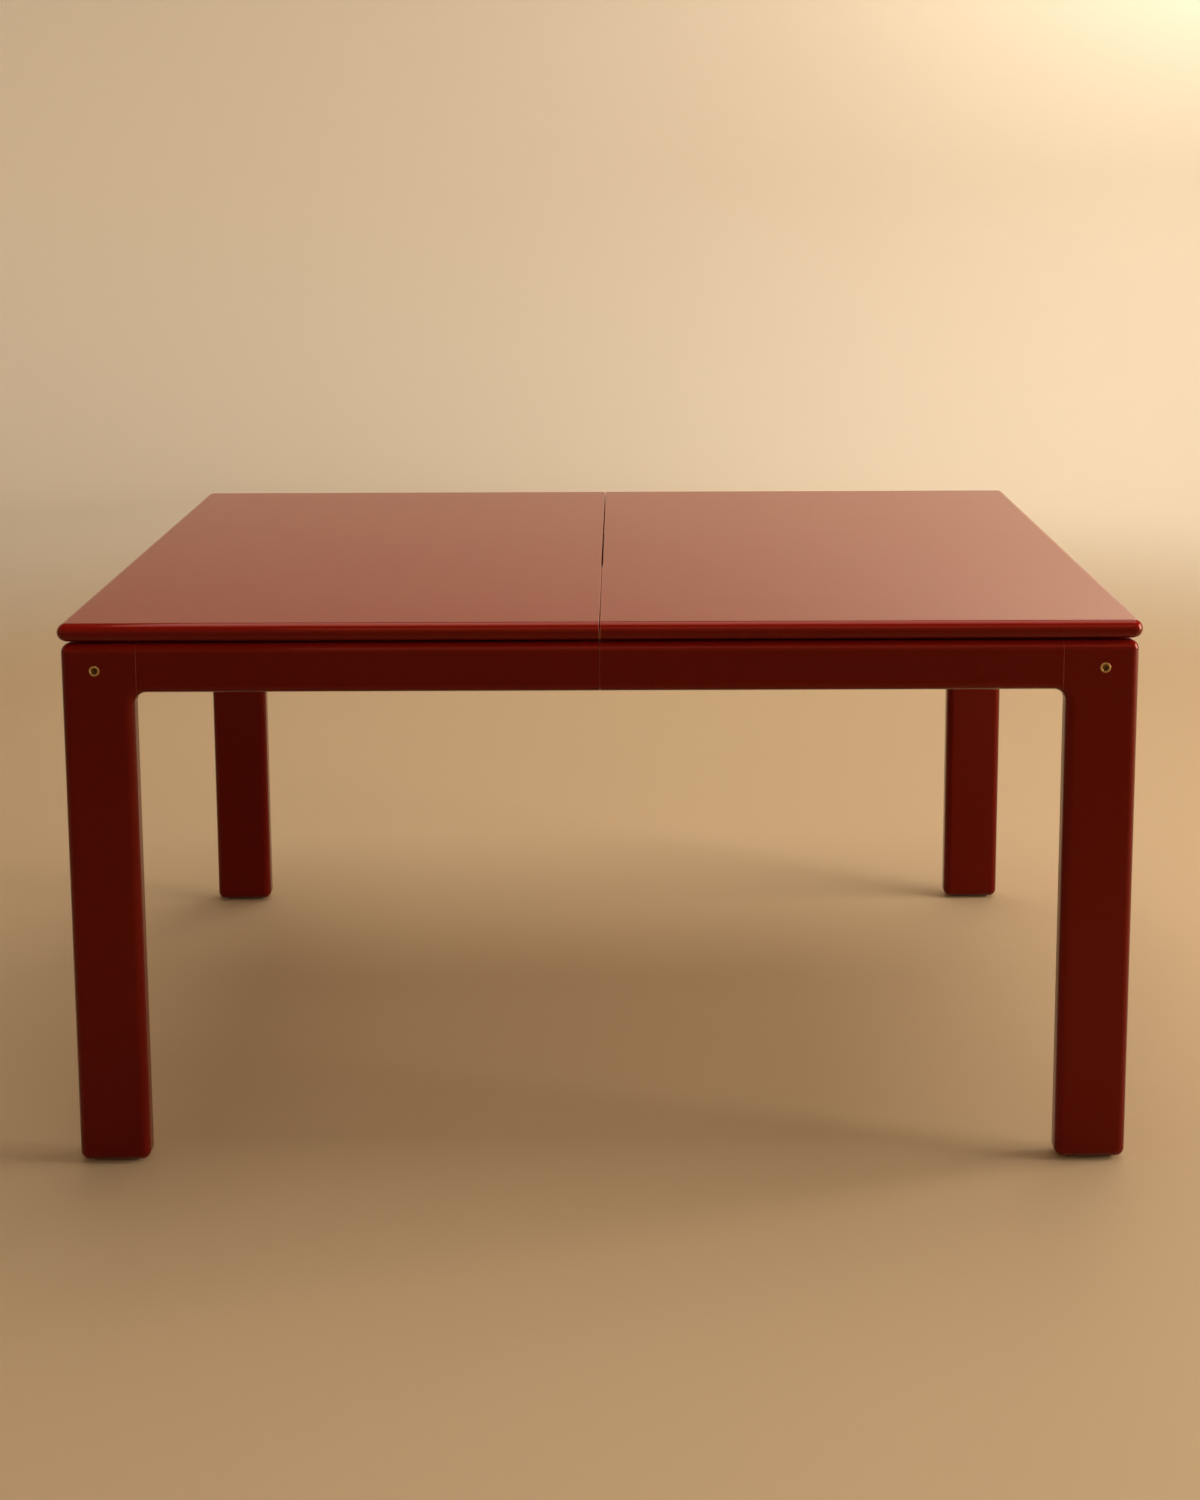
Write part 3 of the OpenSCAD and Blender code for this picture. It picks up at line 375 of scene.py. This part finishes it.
def metal(name, clean, dull, roughness, blotch):
    """Bare metal with the tarnish of handling in soft blotches as wide as blotch, and fine turning
    marks, which are drawn coarser than they are, so that they show."""
    material, tree, shader, place = finish(name, roughness=roughness, metallic=1.0)
    stain = add(tree, "ShaderNodeTexNoise", {"Vector": place, "Scale": 1 / blotch, "Detail": 5.0,
                                             "Roughness": 0.6})
    amount = add(tree, "ShaderNodeMapRange", {"Value": stain.outputs["Fac"], "From Min": 0.42,
                                              "From Max": 0.72})
    colour = add(tree, "ShaderNodeMix", {0: amount.outputs["Result"], 6: linear(clean), 7: linear(dull)},
                 data_type="RGBA")
    tree.links.new(colour.outputs[2], shader.inputs["Base Color"])
    rubbed = add(tree, "ShaderNodeMapRange", {"Value": stain.outputs["Fac"], "From Min": 0.3,
                                              "From Max": 0.75, "To Min": roughness * 0.7,
                                              "To Max": roughness * 1.7})
    tree.links.new(rubbed.outputs["Result"], shader.inputs["Roughness"])
    marks = add(tree, "ShaderNodeTexNoise", {"Vector": place, "Scale": 1 / TURNING_WIDE, "Detail": 3.0})
    turned = add(tree, "ShaderNodeBump", {"Height": marks.outputs["Fac"], "Strength": 0.4,
                                          "Distance": TURNING_DEEP})
    tree.links.new(turned.outputs["Normal"], shader.inputs["Normal"])
    return material


def solids(node):
    """Lowest and highest corner of each separate solid in a CAD node."""
    shape = bmesh.new()
    shape.from_mesh(cad[node].data)
    bmesh.ops.remove_doubles(shape, verts=shape.verts, dist=WELD)
    shape.verts.ensure_lookup_table()
    seen, found = set(), []
    for start in shape.verts:
        if start.index in seen:
            continue
        queue, island = [start], []
        seen.add(start.index)
        while queue:
            vert = queue.pop()
            island.append(vert.co.copy())
            for edge in vert.link_edges:
                other = edge.other_vert(vert)
                if other.index not in seen:
                    seen.add(other.index)
                    queue.append(other)
        low = Vector([min(c[i] for c in island) for i in range(3)])
        high = Vector([max(c[i] for c in island) for i in range(3)])
        found.append((low, high))
    shape.free()
    return found


def lathe(shape, profile, centre, along, hollow=False):
    """Turns (radius, distance) pairs round the axis, as a rod or, if hollow, as a ring.
    A radius may be a rule of the angle."""
    along = Vector(along).normalized()
    side = along.orthogonal().normalized()
    other = along.cross(side)
    rings = []
    for radius, far in profile:
        ring = []
        for k in range(AROUND):
            a = 2 * pi * k / AROUND
            reach = radius(a) if callable(radius) else radius
            spoke = side * cos(a) + other * sin(a)
            ring.append(shape.verts.new(centre + along * far + spoke * reach))
        rings.append(ring)
    for low, high in zip(rings, rings[1:] + rings[:1] if hollow else rings[1:]):
        for k in range(AROUND):
            n = (k + 1) % AROUND
            shape.faces.new((low[k], low[n], high[n], high[k]))
    if not hollow:
        shape.faces.new(list(reversed(rings[0])))
        shape.faces.new(rings[-1])


def hexagon(a):
    """The radius of the bolt's hexagon socket at an angle."""
    return SOCKET_WIDE / 2 * cos(pi / 6) / cos((a % (pi / 3)) - pi / 6)


def cleaned(shape):
    """Welds a turned shape and points its faces outwards."""
    bmesh.ops.remove_doubles(shape, verts=shape.verts, dist=WELD)
    bmesh.ops.recalc_face_normals(shape, faces=shape.faces)
    return shape


def arc(middle, wide, high, turns, steps):
    """Points of part of an ellipse round a middle, as (radius, distance) pairs, between two angles."""
    first, last = turns
    angles = [first + (last - first) * k / steps for k in range(steps + 1)]
    return [(middle[0] + wide * cos(a), middle[1] + high * sin(a)) for a in angles]


BOLT_PROFILE = [(hexagon, HEAD_FACE + SOCKET_DEEP), (hexagon, HEAD_FACE + DISH_DEEP),
                (DISH_R - DISH_SLANT, HEAD_FACE + DISH_EDGE), (DISH_R, HEAD_FACE)]
BOLT_PROFILE += arc((HEAD_R - HEAD_EDGE, HEAD_FACE + HEAD_EDGE), HEAD_EDGE, HEAD_EDGE, (-pi / 2, 0), 3)
BOLT_PROFILE += [(HEAD_R, SEAT), (BOLT_R, SEAT), (BOLT_R, BOLT_LONG - TIP_LONG), (TIP_R, BOLT_LONG)]
CUP_PROFILE = [(CUP_BORE_R, SEAT)]
CUP_PROFILE += arc(((CUP_BORE_R + RIM_R) / 2, RIM_BACK / 2), (RIM_R - CUP_BORE_R) / 2,
                   RIM_BACK / 2 + RIM_PROUD, (-pi, 0), 10)
CUP_PROFILE += [(RIM_R, RIM_BACK), (CUP_R + CUP_NECK, RIM_BACK), (CUP_R, RIM_BACK + CUP_NECK),
                (CUP_R, SEAT + CUP_FLOOR), (CUP_HOLE_R, SEAT + CUP_FLOOR), (CUP_HOLE_R, SEAT)]
brass = metal("tarnished_brass", BRASS_CLEAN, BRASS_DULL, roughness=0.26, blotch=9 * MM)
browned = metal("browned_brass", BRASS_BROWNED, BRASS_DARK, roughness=0.36, blotch=5 * MM)
steel = metal("zinc_plated_steel", STEEL_GREY, STEEL_DARK, roughness=0.34, blotch=14 * MM)
for half in ("left", "right"):
    bolts, cups = bmesh.new(), bmesh.new()
    for low, high in solids("leg_bolts_" + half):
        middle = (low + high) / 2
        inwards = 1 if middle.y < 0 else -1
        on_face = Vector((middle.x, -inwards * LEG_FACE, middle.z))
        lathe(bolts, BOLT_PROFILE, on_face, (0, inwards, 0))
        lathe(cups, CUP_PROFILE, on_face, (0, inwards, 0), hollow=True)
    fit(to_piece(cleaned(bolts), "leg_bolts_" + half), "leg_bolts_" + half, browned)
    fit(to_piece(cleaned(cups), "cup_washers_" + half), "cup_washers_" + half, brass)
    nuts = "barrel_nuts_" + half
    fit(eased(nuts, ease=0.4 * MM, least=0.5 * MM), nuts, steel)

# Half tops
# Two boards with a full round edge on three sides, lacquered like the legs. Where they meet, the edge is
# square with its arrises eased and not buffed, the cut faces painted darker as shade in the seam, and the
# arrises given a paler rub that is partly wear and partly a painted highlight. With age it has moved: near
# the front it all but closes, and from there a narrow black wedge opens and tapers off towards the back.
# Two small nicks lie beside it.
TOP_ARRIS = 1.0 * MM
TOP_Z = cad_box[1][2]
SEAM_BAND = 1.7 * MM
NICKS = ((12.7 * MM, -349 * MM, TOP_Z), (13.6 * MM, -461 * MM, TOP_Z))
NICK_R = 1.3 * MM
NICK_DEEP = 0.6 * MM
NICK_ROUGHNESS = 0.8
NICK_DARK = "#1d0503"
# Places along the seam, and how far each cut edge has drawn back from it there.
SEAM_MOVED = ((-490 * MM, 0.0), (-415 * MM, 0.0), (-395 * MM, -0.30 * MM), (-145 * MM, -0.30 * MM),
              (-120 * MM, 0.60 * MM), (380 * MM, 0.0), (490 * MM, 0.0))


def moved(piece):
    """Shifts a half top's cut edge away from the seam, by amounts that run straight between places."""
    shape = bmesh.new()
    shape.from_mesh(piece.data)
    for bend, _ in SEAM_MOVED[1:-1]:
        every = shape.verts[:] + shape.edges[:] + shape.faces[:]
        bmesh.ops.bisect_plane(shape, geom=every, dist=WELD / 2, plane_co=(0, bend, 0), plane_no=(0, 1, 0))
    for vert in shape.verts:
        if abs(vert.co.x) < SEAM_BAND:
            side = 1 if vert.co.x > 0 else -1
            for (near, start), (far, end) in zip(SEAM_MOVED, SEAM_MOVED[1:]):
                if near <= vert.co.y < far:
                    share = (vert.co.y - near) / (far - near)
                    vert.co.x += side * (start + (end - start) * share)
                    break
    shape.to_mesh(piece.data)
    shape.free()
    return piece


lacquer_tops = polished_lacquer("polished_red_lacquer_tops", (0, 0, pi / 2))
tree = lacquer_tops.node_tree
shader = next(node for node in tree.nodes if node.bl_idname == "ShaderNodeBsdfPrincipled")
place = add(tree, "ShaderNodeTexCoord").outputs["Object"]
for nick in NICKS:
    apart = add(tree, "ShaderNodeVectorMath", {0: place, 1: nick}, operation="DISTANCE").outputs["Value"]
    chip = add(tree, "ShaderNodeMapRange", {"Value": apart, "From Min": 0.5 * NICK_R, "From Max": NICK_R,
                                            "To Min": 1.0, "To Max": 0.0}).outputs["Result"]
    colour = add(tree, "ShaderNodeMix", {0: chip, 6: shader.inputs["Base Color"].links[0].from_socket,
                                         7: linear(NICK_DARK)}, data_type="RGBA")
    tree.links.new(colour.outputs[2], shader.inputs["Base Color"])
    gloss = add(tree, "ShaderNodeMix", {0: chip, 2: shader.inputs["Roughness"].links[0].from_socket,
                                        3: NICK_ROUGHNESS})
    tree.links.new(gloss.outputs[0], shader.inputs["Roughness"])
    dent = add(tree, "ShaderNodeBump", {"Height": chip, "Strength": 1.0, "Distance": -NICK_DEEP,
                                        "Normal": shader.inputs["Normal"].links[0].from_socket})
    tree.links.new(dent.outputs["Normal"], shader.inputs["Normal"])
for top in ("top_left", "top_right"):
    fit(moved(marked(eased(top, TOP_ARRIS))), top, lacquer_tops)

# Seam pegs
# Turned brass pegs with rounded tips, pressed into the left half. They find their sockets in the right
# half as the table closes, and bring the two tops level.
PEG_TIP = 1.2 * MM
fit(eased("seam_pegs", ease=PEG_TIP, least=0.3 * MM), "seam_pegs", browned)

# Battens
# Beech strips inside the rails that carry the top a shadow gap above the frame.
# Their arrises are planed off.
for battens in ("battens_left", "battens_right"):
    fit(eased(battens, ease=1.0 * MM), battens, beech_lengthways)

# Screws
# Zinc-plated wood screws with a low domed head and a cross recess: small ones through battens, latch
# plates and bearers, long ones through the runners. One screw is drawn and set at each place.
SCREW_LENGTH = 38 * MM
SCREW_HEAD = 8 * MM
SCREW_HEAD_HIGH = 2.5 * MM
SCREW_SHANK = 4 * MM
SCREW_SUNK = 0.3 * MM
DOME_FALL, DOME_ROUND, DOME_FLAT = 3.2, 0.62, 0.45
DOME_STEPS, HEAD_SIDES = 9, 32
THREAD_TURNS, THREAD_DEEP = 20, 0.09
STEPS_A_TURN, SHANK_SIDES = 3, 12
RECESS_LONG = 4.6 * MM
RECESS_WIDE = 0.9 * MM
RECESS_DEEP = 1.4 * MM


def screw_tree(material):
    """Nodes that draw one screw pointing up, and set a copy on every point of the mesh that they get.
    The head's outline falls off towards the flat of the dome, and the shank's swells with each turn."""
    tree = bpy.data.node_groups.new("Cross-recess screws", "GeometryNodeTree")
    tree.interface.new_socket("Geometry", in_out="OUTPUT", socket_type="NodeSocketGeometry")
    tree.interface.new_socket("Places", in_out="INPUT", socket_type="NodeSocketGeometry")
    for name, size in (("Length", SCREW_LENGTH), ("Head diameter", SCREW_HEAD),
                       ("Head height", SCREW_HEAD_HIGH), ("Shank diameter", SCREW_SHANK)):
        socket = tree.interface.new_socket(name, in_out="INPUT", socket_type="NodeSocketFloat")
        socket.default_value = size
    given = add(tree, "NodeGroupInput").outputs
    head_r = add(tree, "ShaderNodeMath", {0: given["Head diameter"], 1: 0.5}, operation="MULTIPLY").outputs[0]
    shank_r = add(tree, "ShaderNodeMath", {0: given["Shank diameter"], 1: 0.5},
                  operation="MULTIPLY").outputs[0]
    down = add(tree, "ShaderNodeMath", {0: given["Head height"], 1: -1.0}, operation="MULTIPLY").outputs[0]
    low = add(tree, "ShaderNodeCombineXYZ", {"Z": down}).outputs[0]
    axis = add(tree, "GeometryNodeCurvePrimitiveLine", {"Start": low, "End": (0, 0, 0)}).outputs["Curve"]
    axis = add(tree, "GeometryNodeResampleCurve", {"Curve": axis, "Count": DOME_STEPS}).outputs["Curve"]
    share = add(tree, "GeometryNodeSplineParameter").outputs["Factor"]
    fall = add(tree, "ShaderNodeMath", {0: 1.0, 1: share}, operation="SUBTRACT").outputs[0]
    fall = add(tree, "ShaderNodeMath", {0: fall, 1: DOME_FALL}, operation="POWER").outputs[0]
    fall = add(tree, "ShaderNodeMath", {0: 1.0, 1: fall}, operation="SUBTRACT").outputs[0]
    dome = add(tree, "ShaderNodeMath", {0: fall, 1: DOME_ROUND}, operation="POWER").outputs[0]
    dome = add(tree, "ShaderNodeMath", {0: dome, 1: DOME_FLAT}, operation="MAXIMUM").outputs[0]
    dome = add(tree, "ShaderNodeMath", {0: dome, 1: head_r}, operation="MULTIPLY").outputs[0]
    ring = add(tree, "GeometryNodeCurvePrimitiveCircle", {"Resolution": HEAD_SIDES, "Radius": 1.0})
    head = add(tree, "GeometryNodeCurveToMesh", {"Curve": axis, "Profile Curve": ring.outputs["Curve"],
                                                 "Scale": dome, "Fill Caps": True}).outputs["Mesh"]
    cutters = []
    for long, wide in ((RECESS_LONG, RECESS_WIDE), (RECESS_WIDE, RECESS_LONG)):
        bar = add(tree, "GeometryNodeMeshCube", {"Size": (long, wide, 2 * RECESS_DEEP)}).outputs["Mesh"]
        cutters.append(add(tree, "GeometryNodeTransform", {"Geometry": bar, "Translation": low}).outputs[0])
    cut = add(tree, "GeometryNodeMeshBoolean", operation="DIFFERENCE", solver="EXACT")
    tree.links.new(head, cut.inputs["Mesh 1"])
    for cutter in cutters:
        tree.links.new(cutter, cut.inputs["Mesh 2"])
    top = add(tree, "ShaderNodeCombineXYZ", {"Z": given["Length"]}).outputs[0]
    spine = add(tree, "GeometryNodeCurvePrimitiveLine", {"Start": (0, 0, -SCREW_SUNK), "End": top})
    spine = add(tree, "GeometryNodeResampleCurve", {"Curve": spine.outputs["Curve"],
                                                    "Count": STEPS_A_TURN * THREAD_TURNS}).outputs["Curve"]
    wave = add(tree, "ShaderNodeMath", {0: share, 1: 2 * pi * THREAD_TURNS}, operation="MULTIPLY").outputs[0]
    wave = add(tree, "ShaderNodeMath", {0: wave}, operation="SINE").outputs[0]
    wave = add(tree, "ShaderNodeMath", {0: wave, 1: THREAD_DEEP}, operation="MULTIPLY").outputs[0]
    wave = add(tree, "ShaderNodeMath", {0: wave, 1: 1 - THREAD_DEEP}, operation="ADD").outputs[0]
    thread = add(tree, "ShaderNodeMath", {0: wave, 1: shank_r}, operation="MULTIPLY").outputs[0]
    small = add(tree, "GeometryNodeCurvePrimitiveCircle", {"Resolution": SHANK_SIDES, "Radius": 1.0})
    shank = add(tree, "GeometryNodeCurveToMesh", {"Curve": spine, "Profile Curve": small.outputs["Curve"],
                                                  "Scale": thread, "Fill Caps": True}).outputs["Mesh"]
    screw = add(tree, "GeometryNodeJoinGeometry")
    tree.links.new(shank, screw.inputs[0])
    tree.links.new(cut.outputs["Mesh"], screw.inputs[0])
    turn = add(tree, "FunctionNodeRandomValue", {"Max": (0, 0, pi), "Seed": 7}, data_type="FLOAT_VECTOR")
    turned = add(tree, "FunctionNodeEulerToRotation", {"Euler": turn.outputs[0]}).outputs[0]
    placed = add(tree, "GeometryNodeInstanceOnPoints", {"Points": given["Places"],
                                                        "Instance": screw.outputs[0], "Rotation": turned})
    real = add(tree, "GeometryNodeRealizeInstances", {"Geometry": placed.outputs[0]}).outputs[0]
    coated = add(tree, "GeometryNodeSetMaterial", {"Geometry": real, "Material": material}).outputs[0]
    tree.links.new(coated, add(tree, "NodeGroupOutput").inputs[0])
    return tree


def grown(name, points, tree, values):
    """Runs a node tree on a mesh of points and keeps the result as a plain mesh."""
    mesh = bpy.data.meshes.new(name)
    mesh.from_pydata(points, [], [])
    maker = bpy.data.objects.new(name, mesh)
    bpy.context.scene.collection.objects.link(maker)
    modifier = maker.modifiers.new("Made by rule", "NODES")
    modifier.node_group = tree
    for item in tree.interface.items_tree:
        if item.in_out == "INPUT" and item.name in values:
            modifier[item.identifier] = values[item.name]
    seen = bpy.context.evaluated_depsgraph_get()
    made = bpy.data.meshes.new_from_object(maker.evaluated_get(seen), depsgraph=seen)
    bpy.data.objects.remove(maker)
    return made


def screwed(node):
    """The screws of a CAD node, each as long as its solid is high, as one piece."""
    by_length = {}
    for low, high in solids(node):
        middle = (low + high) / 2
        length = round(high.z - low.z - SCREW_HEAD_HIGH, 5)
        by_length.setdefault(length, []).append((middle.x, middle.y, low.z + SCREW_HEAD_HIGH))
    shape = bmesh.new()
    for length, places in by_length.items():
        made = grown("screws", places, screws, {"Length": length})
        shape.from_mesh(made)
        bpy.data.meshes.remove(made)
    return to_piece(shape, node)


screws = screw_tree(steel)
SCREWS = ("batten_screws_left", "batten_screws_right", "runner_screws_left", "runner_screws_right",
          "bearer_screws")
for group in SCREWS:
    fit(screwed(group), group, steel)

# Runners
# Three planed beech members side by side in front and behind. The outer two are screwed under the half
# tops, and the centre one slides between them on dovetail tongues, half as far as they part.
RUNNERS = ("runner_left_front", "runner_left_back", "runner_right_front", "runner_right_back",
           "runner_centre_front", "runner_centre_back")
for runner in RUNNERS:
    fit(eased(runner, ease=0.6 * MM, least=4 * MM), runner, beech_lengthways)

# Racks
# Steel strips with cut teeth, let into the outer members on both sides of the pinion, which they roll
# between them, so that the centre members always stay in the middle.
for racks in ("racks_left", "racks_right"):
    fit(eased(racks, ease=0.25 * MM, least=1.5 * MM), racks, steel)

# Pinions
# Moulded nylon wheels of thirteen teeth, running on steel pins that are pressed up into the centre
# members. The mould leaves soft arrises and a faint flow in the skin, and the white yellows with age.
NYLON_NEW = "#e9e5da"
NYLON_AGED = "#d5cbb2"
AGED_PATCH = 18 * MM
FLOW_WIDE, FLOW_DEEP = 2 * MM, 0.04 * MM
nylon, tree, shader, place = finish("moulded_nylon", roughness=0.4, ior=1.53)
yellowing = add(tree, "ShaderNodeTexNoise", {"Vector": place, "Scale": 1 / AGED_PATCH, "Detail": 3.0})
aged = add(tree, "ShaderNodeMix", {0: yellowing.outputs["Fac"], 6: linear(NYLON_NEW), 7: linear(NYLON_AGED)},
           data_type="RGBA")
tree.links.new(aged.outputs[2], shader.inputs["Base Color"])
flow = add(tree, "ShaderNodeTexNoise", {"Vector": place, "Scale": 1 / FLOW_WIDE, "Detail": 2.0})
moulded = add(tree, "ShaderNodeBump", {"Height": flow.outputs["Fac"], "Strength": 0.4,
                                       "Distance": FLOW_DEEP})
tree.links.new(moulded.outputs["Normal"], shader.inputs["Normal"])
for pinion in ("pinion_front", "pinion_back"):
    fit(eased(pinion, ease=0.25 * MM, least=0.8 * MM), pinion, nylon)
fit(eased("pinion_pins", ease=0.4 * MM, least=0.5 * MM), "pinion_pins", steel)

# Stop blocks
# Short beech blocks glued under the outer members. The leaf's bearers come up against them when the
# table is fully open.
for stops in ("stop_blocks_left", "stop_blocks_right"):
    fit(eased(stops, ease=0.8 * MM), stops, beech_lengthways)

# Leaf bearers
# Two flat cross pieces of beech, screwed up under the centre members, on which the folded leaf lies
# between two small fences.
for bearer in ("leaf_bearers", "leaf_stops"):
    fit(eased(bearer, ease=1.2 * MM), bearer, beech_crossways)

# Leaf
# Two boards like the top, folded face to face on three brass hinges and put away under the closed table.
# Brass pegs at one end find the sockets of the right half when the leaf is laid in.
for panel in ("leaf_panel_lower", "leaf_panel_upper"):
    fit(eased(panel, TOP_ARRIS), panel, lacquer_crossways)
fit(eased("leaf_hinges", ease=0.25 * MM, least=0.6 * MM), "leaf_hinges", brass)
fit(eased("leaf_pegs", ease=PEG_TIP, least=0.3 * MM), "leaf_pegs", brass)
dress("leaf_hinge_pins", steel)

# Latches
# Hooked arms of punched steel that turn on a headed pivot under the left top, and swing over to a stud
# on the right half to pull the two halves together. Their plates are screwed flat under the tops.
for latch in ("latch_plates", "latch_keepers", "latch_front", "latch_back", "latch_pivots"):
    fit(eased(latch, ease=0.3 * MM, least=0.5 * MM), latch, steel)

# Studio
# A round room with a pale warm floor that sweeps up into a wall, open at the top. The floor can be
# looked through from below. A soft lamp stands at the right like a window, one hangs over the table,
# one high in front, and one washes the wall behind from the right.
FLOOR_R, SWEEP_R, WALL_H = 4.6, 1.2, 4.6
FLOOR_PAINT = "#cbb08c"
WALL_PAINT = "#e8dcc8"
WALL_TONE_FROM = 2.2
SKY = "#fff1dc"
SKY_STRENGTH = 0.05
AROUND_ROOM = 128
SWEEP_STEPS = 16
sweep = arc((FLOOR_R, SWEEP_R), SWEEP_R, SWEEP_R, (-pi / 2, 0), SWEEP_STEPS)
sweep += [(FLOOR_R + SWEEP_R, WALL_H)]
shape = bmesh.new()
turns = [2 * pi * k / AROUND_ROOM for k in range(AROUND_ROOM)]
rings = [[shape.verts.new((r * cos(a), r * sin(a), z)) for a in turns] for r, z in sweep]
shape.faces.new(rings[0])
for low, high in zip(rings, rings[1:]):
    for k in range(AROUND_ROOM):
        n = (k + 1) % AROUND_ROOM
        shape.faces.new((low[k], low[n], high[n], high[k]))
shape.normal_update()
for face in shape.faces:
    face.smooth = True
    turned_away = face.normal.xy.dot(face.calc_center_median().xy)
    if face.normal.z < 0 or round(turned_away, 6) > 0:
        face.normal_flip()
mesh = bpy.data.meshes.new("studio")
shape.to_mesh(mesh)
shape.free()
studio = bpy.data.objects.new("studio", mesh)
bpy.context.scene.collection.objects.link(studio)
paint, tree, shader, place = finish("matt_studio_paint", roughness=0.9)
outwards = add(tree, "ShaderNodeVectorMath", {0: place}, operation="LENGTH").outputs["Value"]
near_wall = add(tree, "ShaderNodeMapRange", {"Value": outwards, "From Min": WALL_TONE_FROM,
                                             "From Max": FLOOR_R},
                interpolation_type="SMOOTHSTEP").outputs["Result"]
tone = add(tree, "ShaderNodeMix", {0: near_wall, 6: linear(FLOOR_PAINT), 7: linear(WALL_PAINT)},
           data_type="RGBA")
tree.links.new(tone.outputs[2], shader.inputs["Base Color"])
shader.inputs["Specular IOR Level"].default_value = 0.1
seen_from = add(tree, "ShaderNodeNewGeometry").outputs["Backfacing"]
clear = add(tree, "ShaderNodeBsdfTransparent").outputs["BSDF"]
either = add(tree, "ShaderNodeMixShader", {0: seen_from, 1: shader.outputs["BSDF"], 2: clear})
out = next(node for node in tree.nodes if node.bl_idname == "ShaderNodeOutputMaterial")
tree.links.new(either.outputs["Shader"], out.inputs["Surface"])
mesh.materials.append(paint)

world = bpy.data.worlds.new("soft_daylight")
world.use_nodes = True
world.node_tree.nodes.clear()
sky = add(world.node_tree, "ShaderNodeBackground", {"Color": linear(SKY), "Strength": SKY_STRENGTH})
add(world.node_tree, "ShaderNodeOutputWorld", {"Surface": sky.outputs[0]})
bpy.context.scene.world = world


def soft_lamp(name, size, place, target, watts, colour):
    """A flat lamp with a diffuser, turned towards a point."""
    light = bpy.data.lights.new(name, "AREA")
    light.shape = "RECTANGLE"
    light.size, light.size_y = size
    light.energy = watts
    light.color = linear(colour)[:3]
    lamp = bpy.data.objects.new(name, light)
    lamp.location = place
    lamp.rotation_mode = "QUATERNION"
    lamp.rotation_quaternion = (Vector(target) - Vector(place)).to_track_quat("-Z", "Y")
    bpy.context.scene.collection.objects.link(lamp)


soft_lamp("window_lamp", size=(2.0, 2.4), place=(4.2, -0.4, 1.5), target=(0.0, 0.0, 0.5), watts=155,
          colour="#fff2e2")
soft_lamp("table_lamp", size=(4.0, 3.0), place=(0.6, 0.7, 3.7), target=(0.6, 0.7, 0.0), watts=88,
          colour="#fff6ec")
soft_lamp("front_lamp", size=(3.0, 1.6), place=(0.4, -3.4, 3.3), target=(0.0, -0.4, 0.7), watts=12,
          colour="#fff6ec")
soft_lamp("wall_lamp", size=(1.4, 1.4), place=(2.6, 4.1, 3.2), target=(1.6, 5.6, 2.1), watts=69,
          colour="#fff4e6")

# Camera
# It stands a little right of the middle and twice as high as the table, with its axis nearly level
# and the picture shifted down, as the photograph was taken.
CAMERA_PLACE = (0.0307, -2.9585, 1.3628)
SENSOR_WIDE, LENS = 36, 47.279
SHIFT_X, SHIFT_Y = -0.0133, -0.24
YAW, PITCH, ROLL = -0.071, 7.343, -0.229
NEAREST, FARTHEST = 0.05, 60
view = bpy.data.cameras.new("camera")
view.sensor_width = SENSOR_WIDE
view.lens, view.shift_x, view.shift_y = LENS, SHIFT_X, SHIFT_Y
view.clip_start, view.clip_end = NEAREST, FARTHEST
camera = bpy.data.objects.new("camera", view)
camera.location = CAMERA_PLACE
aim = Matrix.Rotation(radians(-YAW), 3, "Z") @ Matrix.Rotation(radians(90 - PITCH), 3, "X")
camera.rotation_euler = (aim @ Matrix.Rotation(radians(ROLL), 3, "Z")).to_euler()
bpy.context.scene.collection.objects.link(camera)
bpy.context.scene.camera = camera
bpy.context.scene.view_settings.view_transform = "Standard"
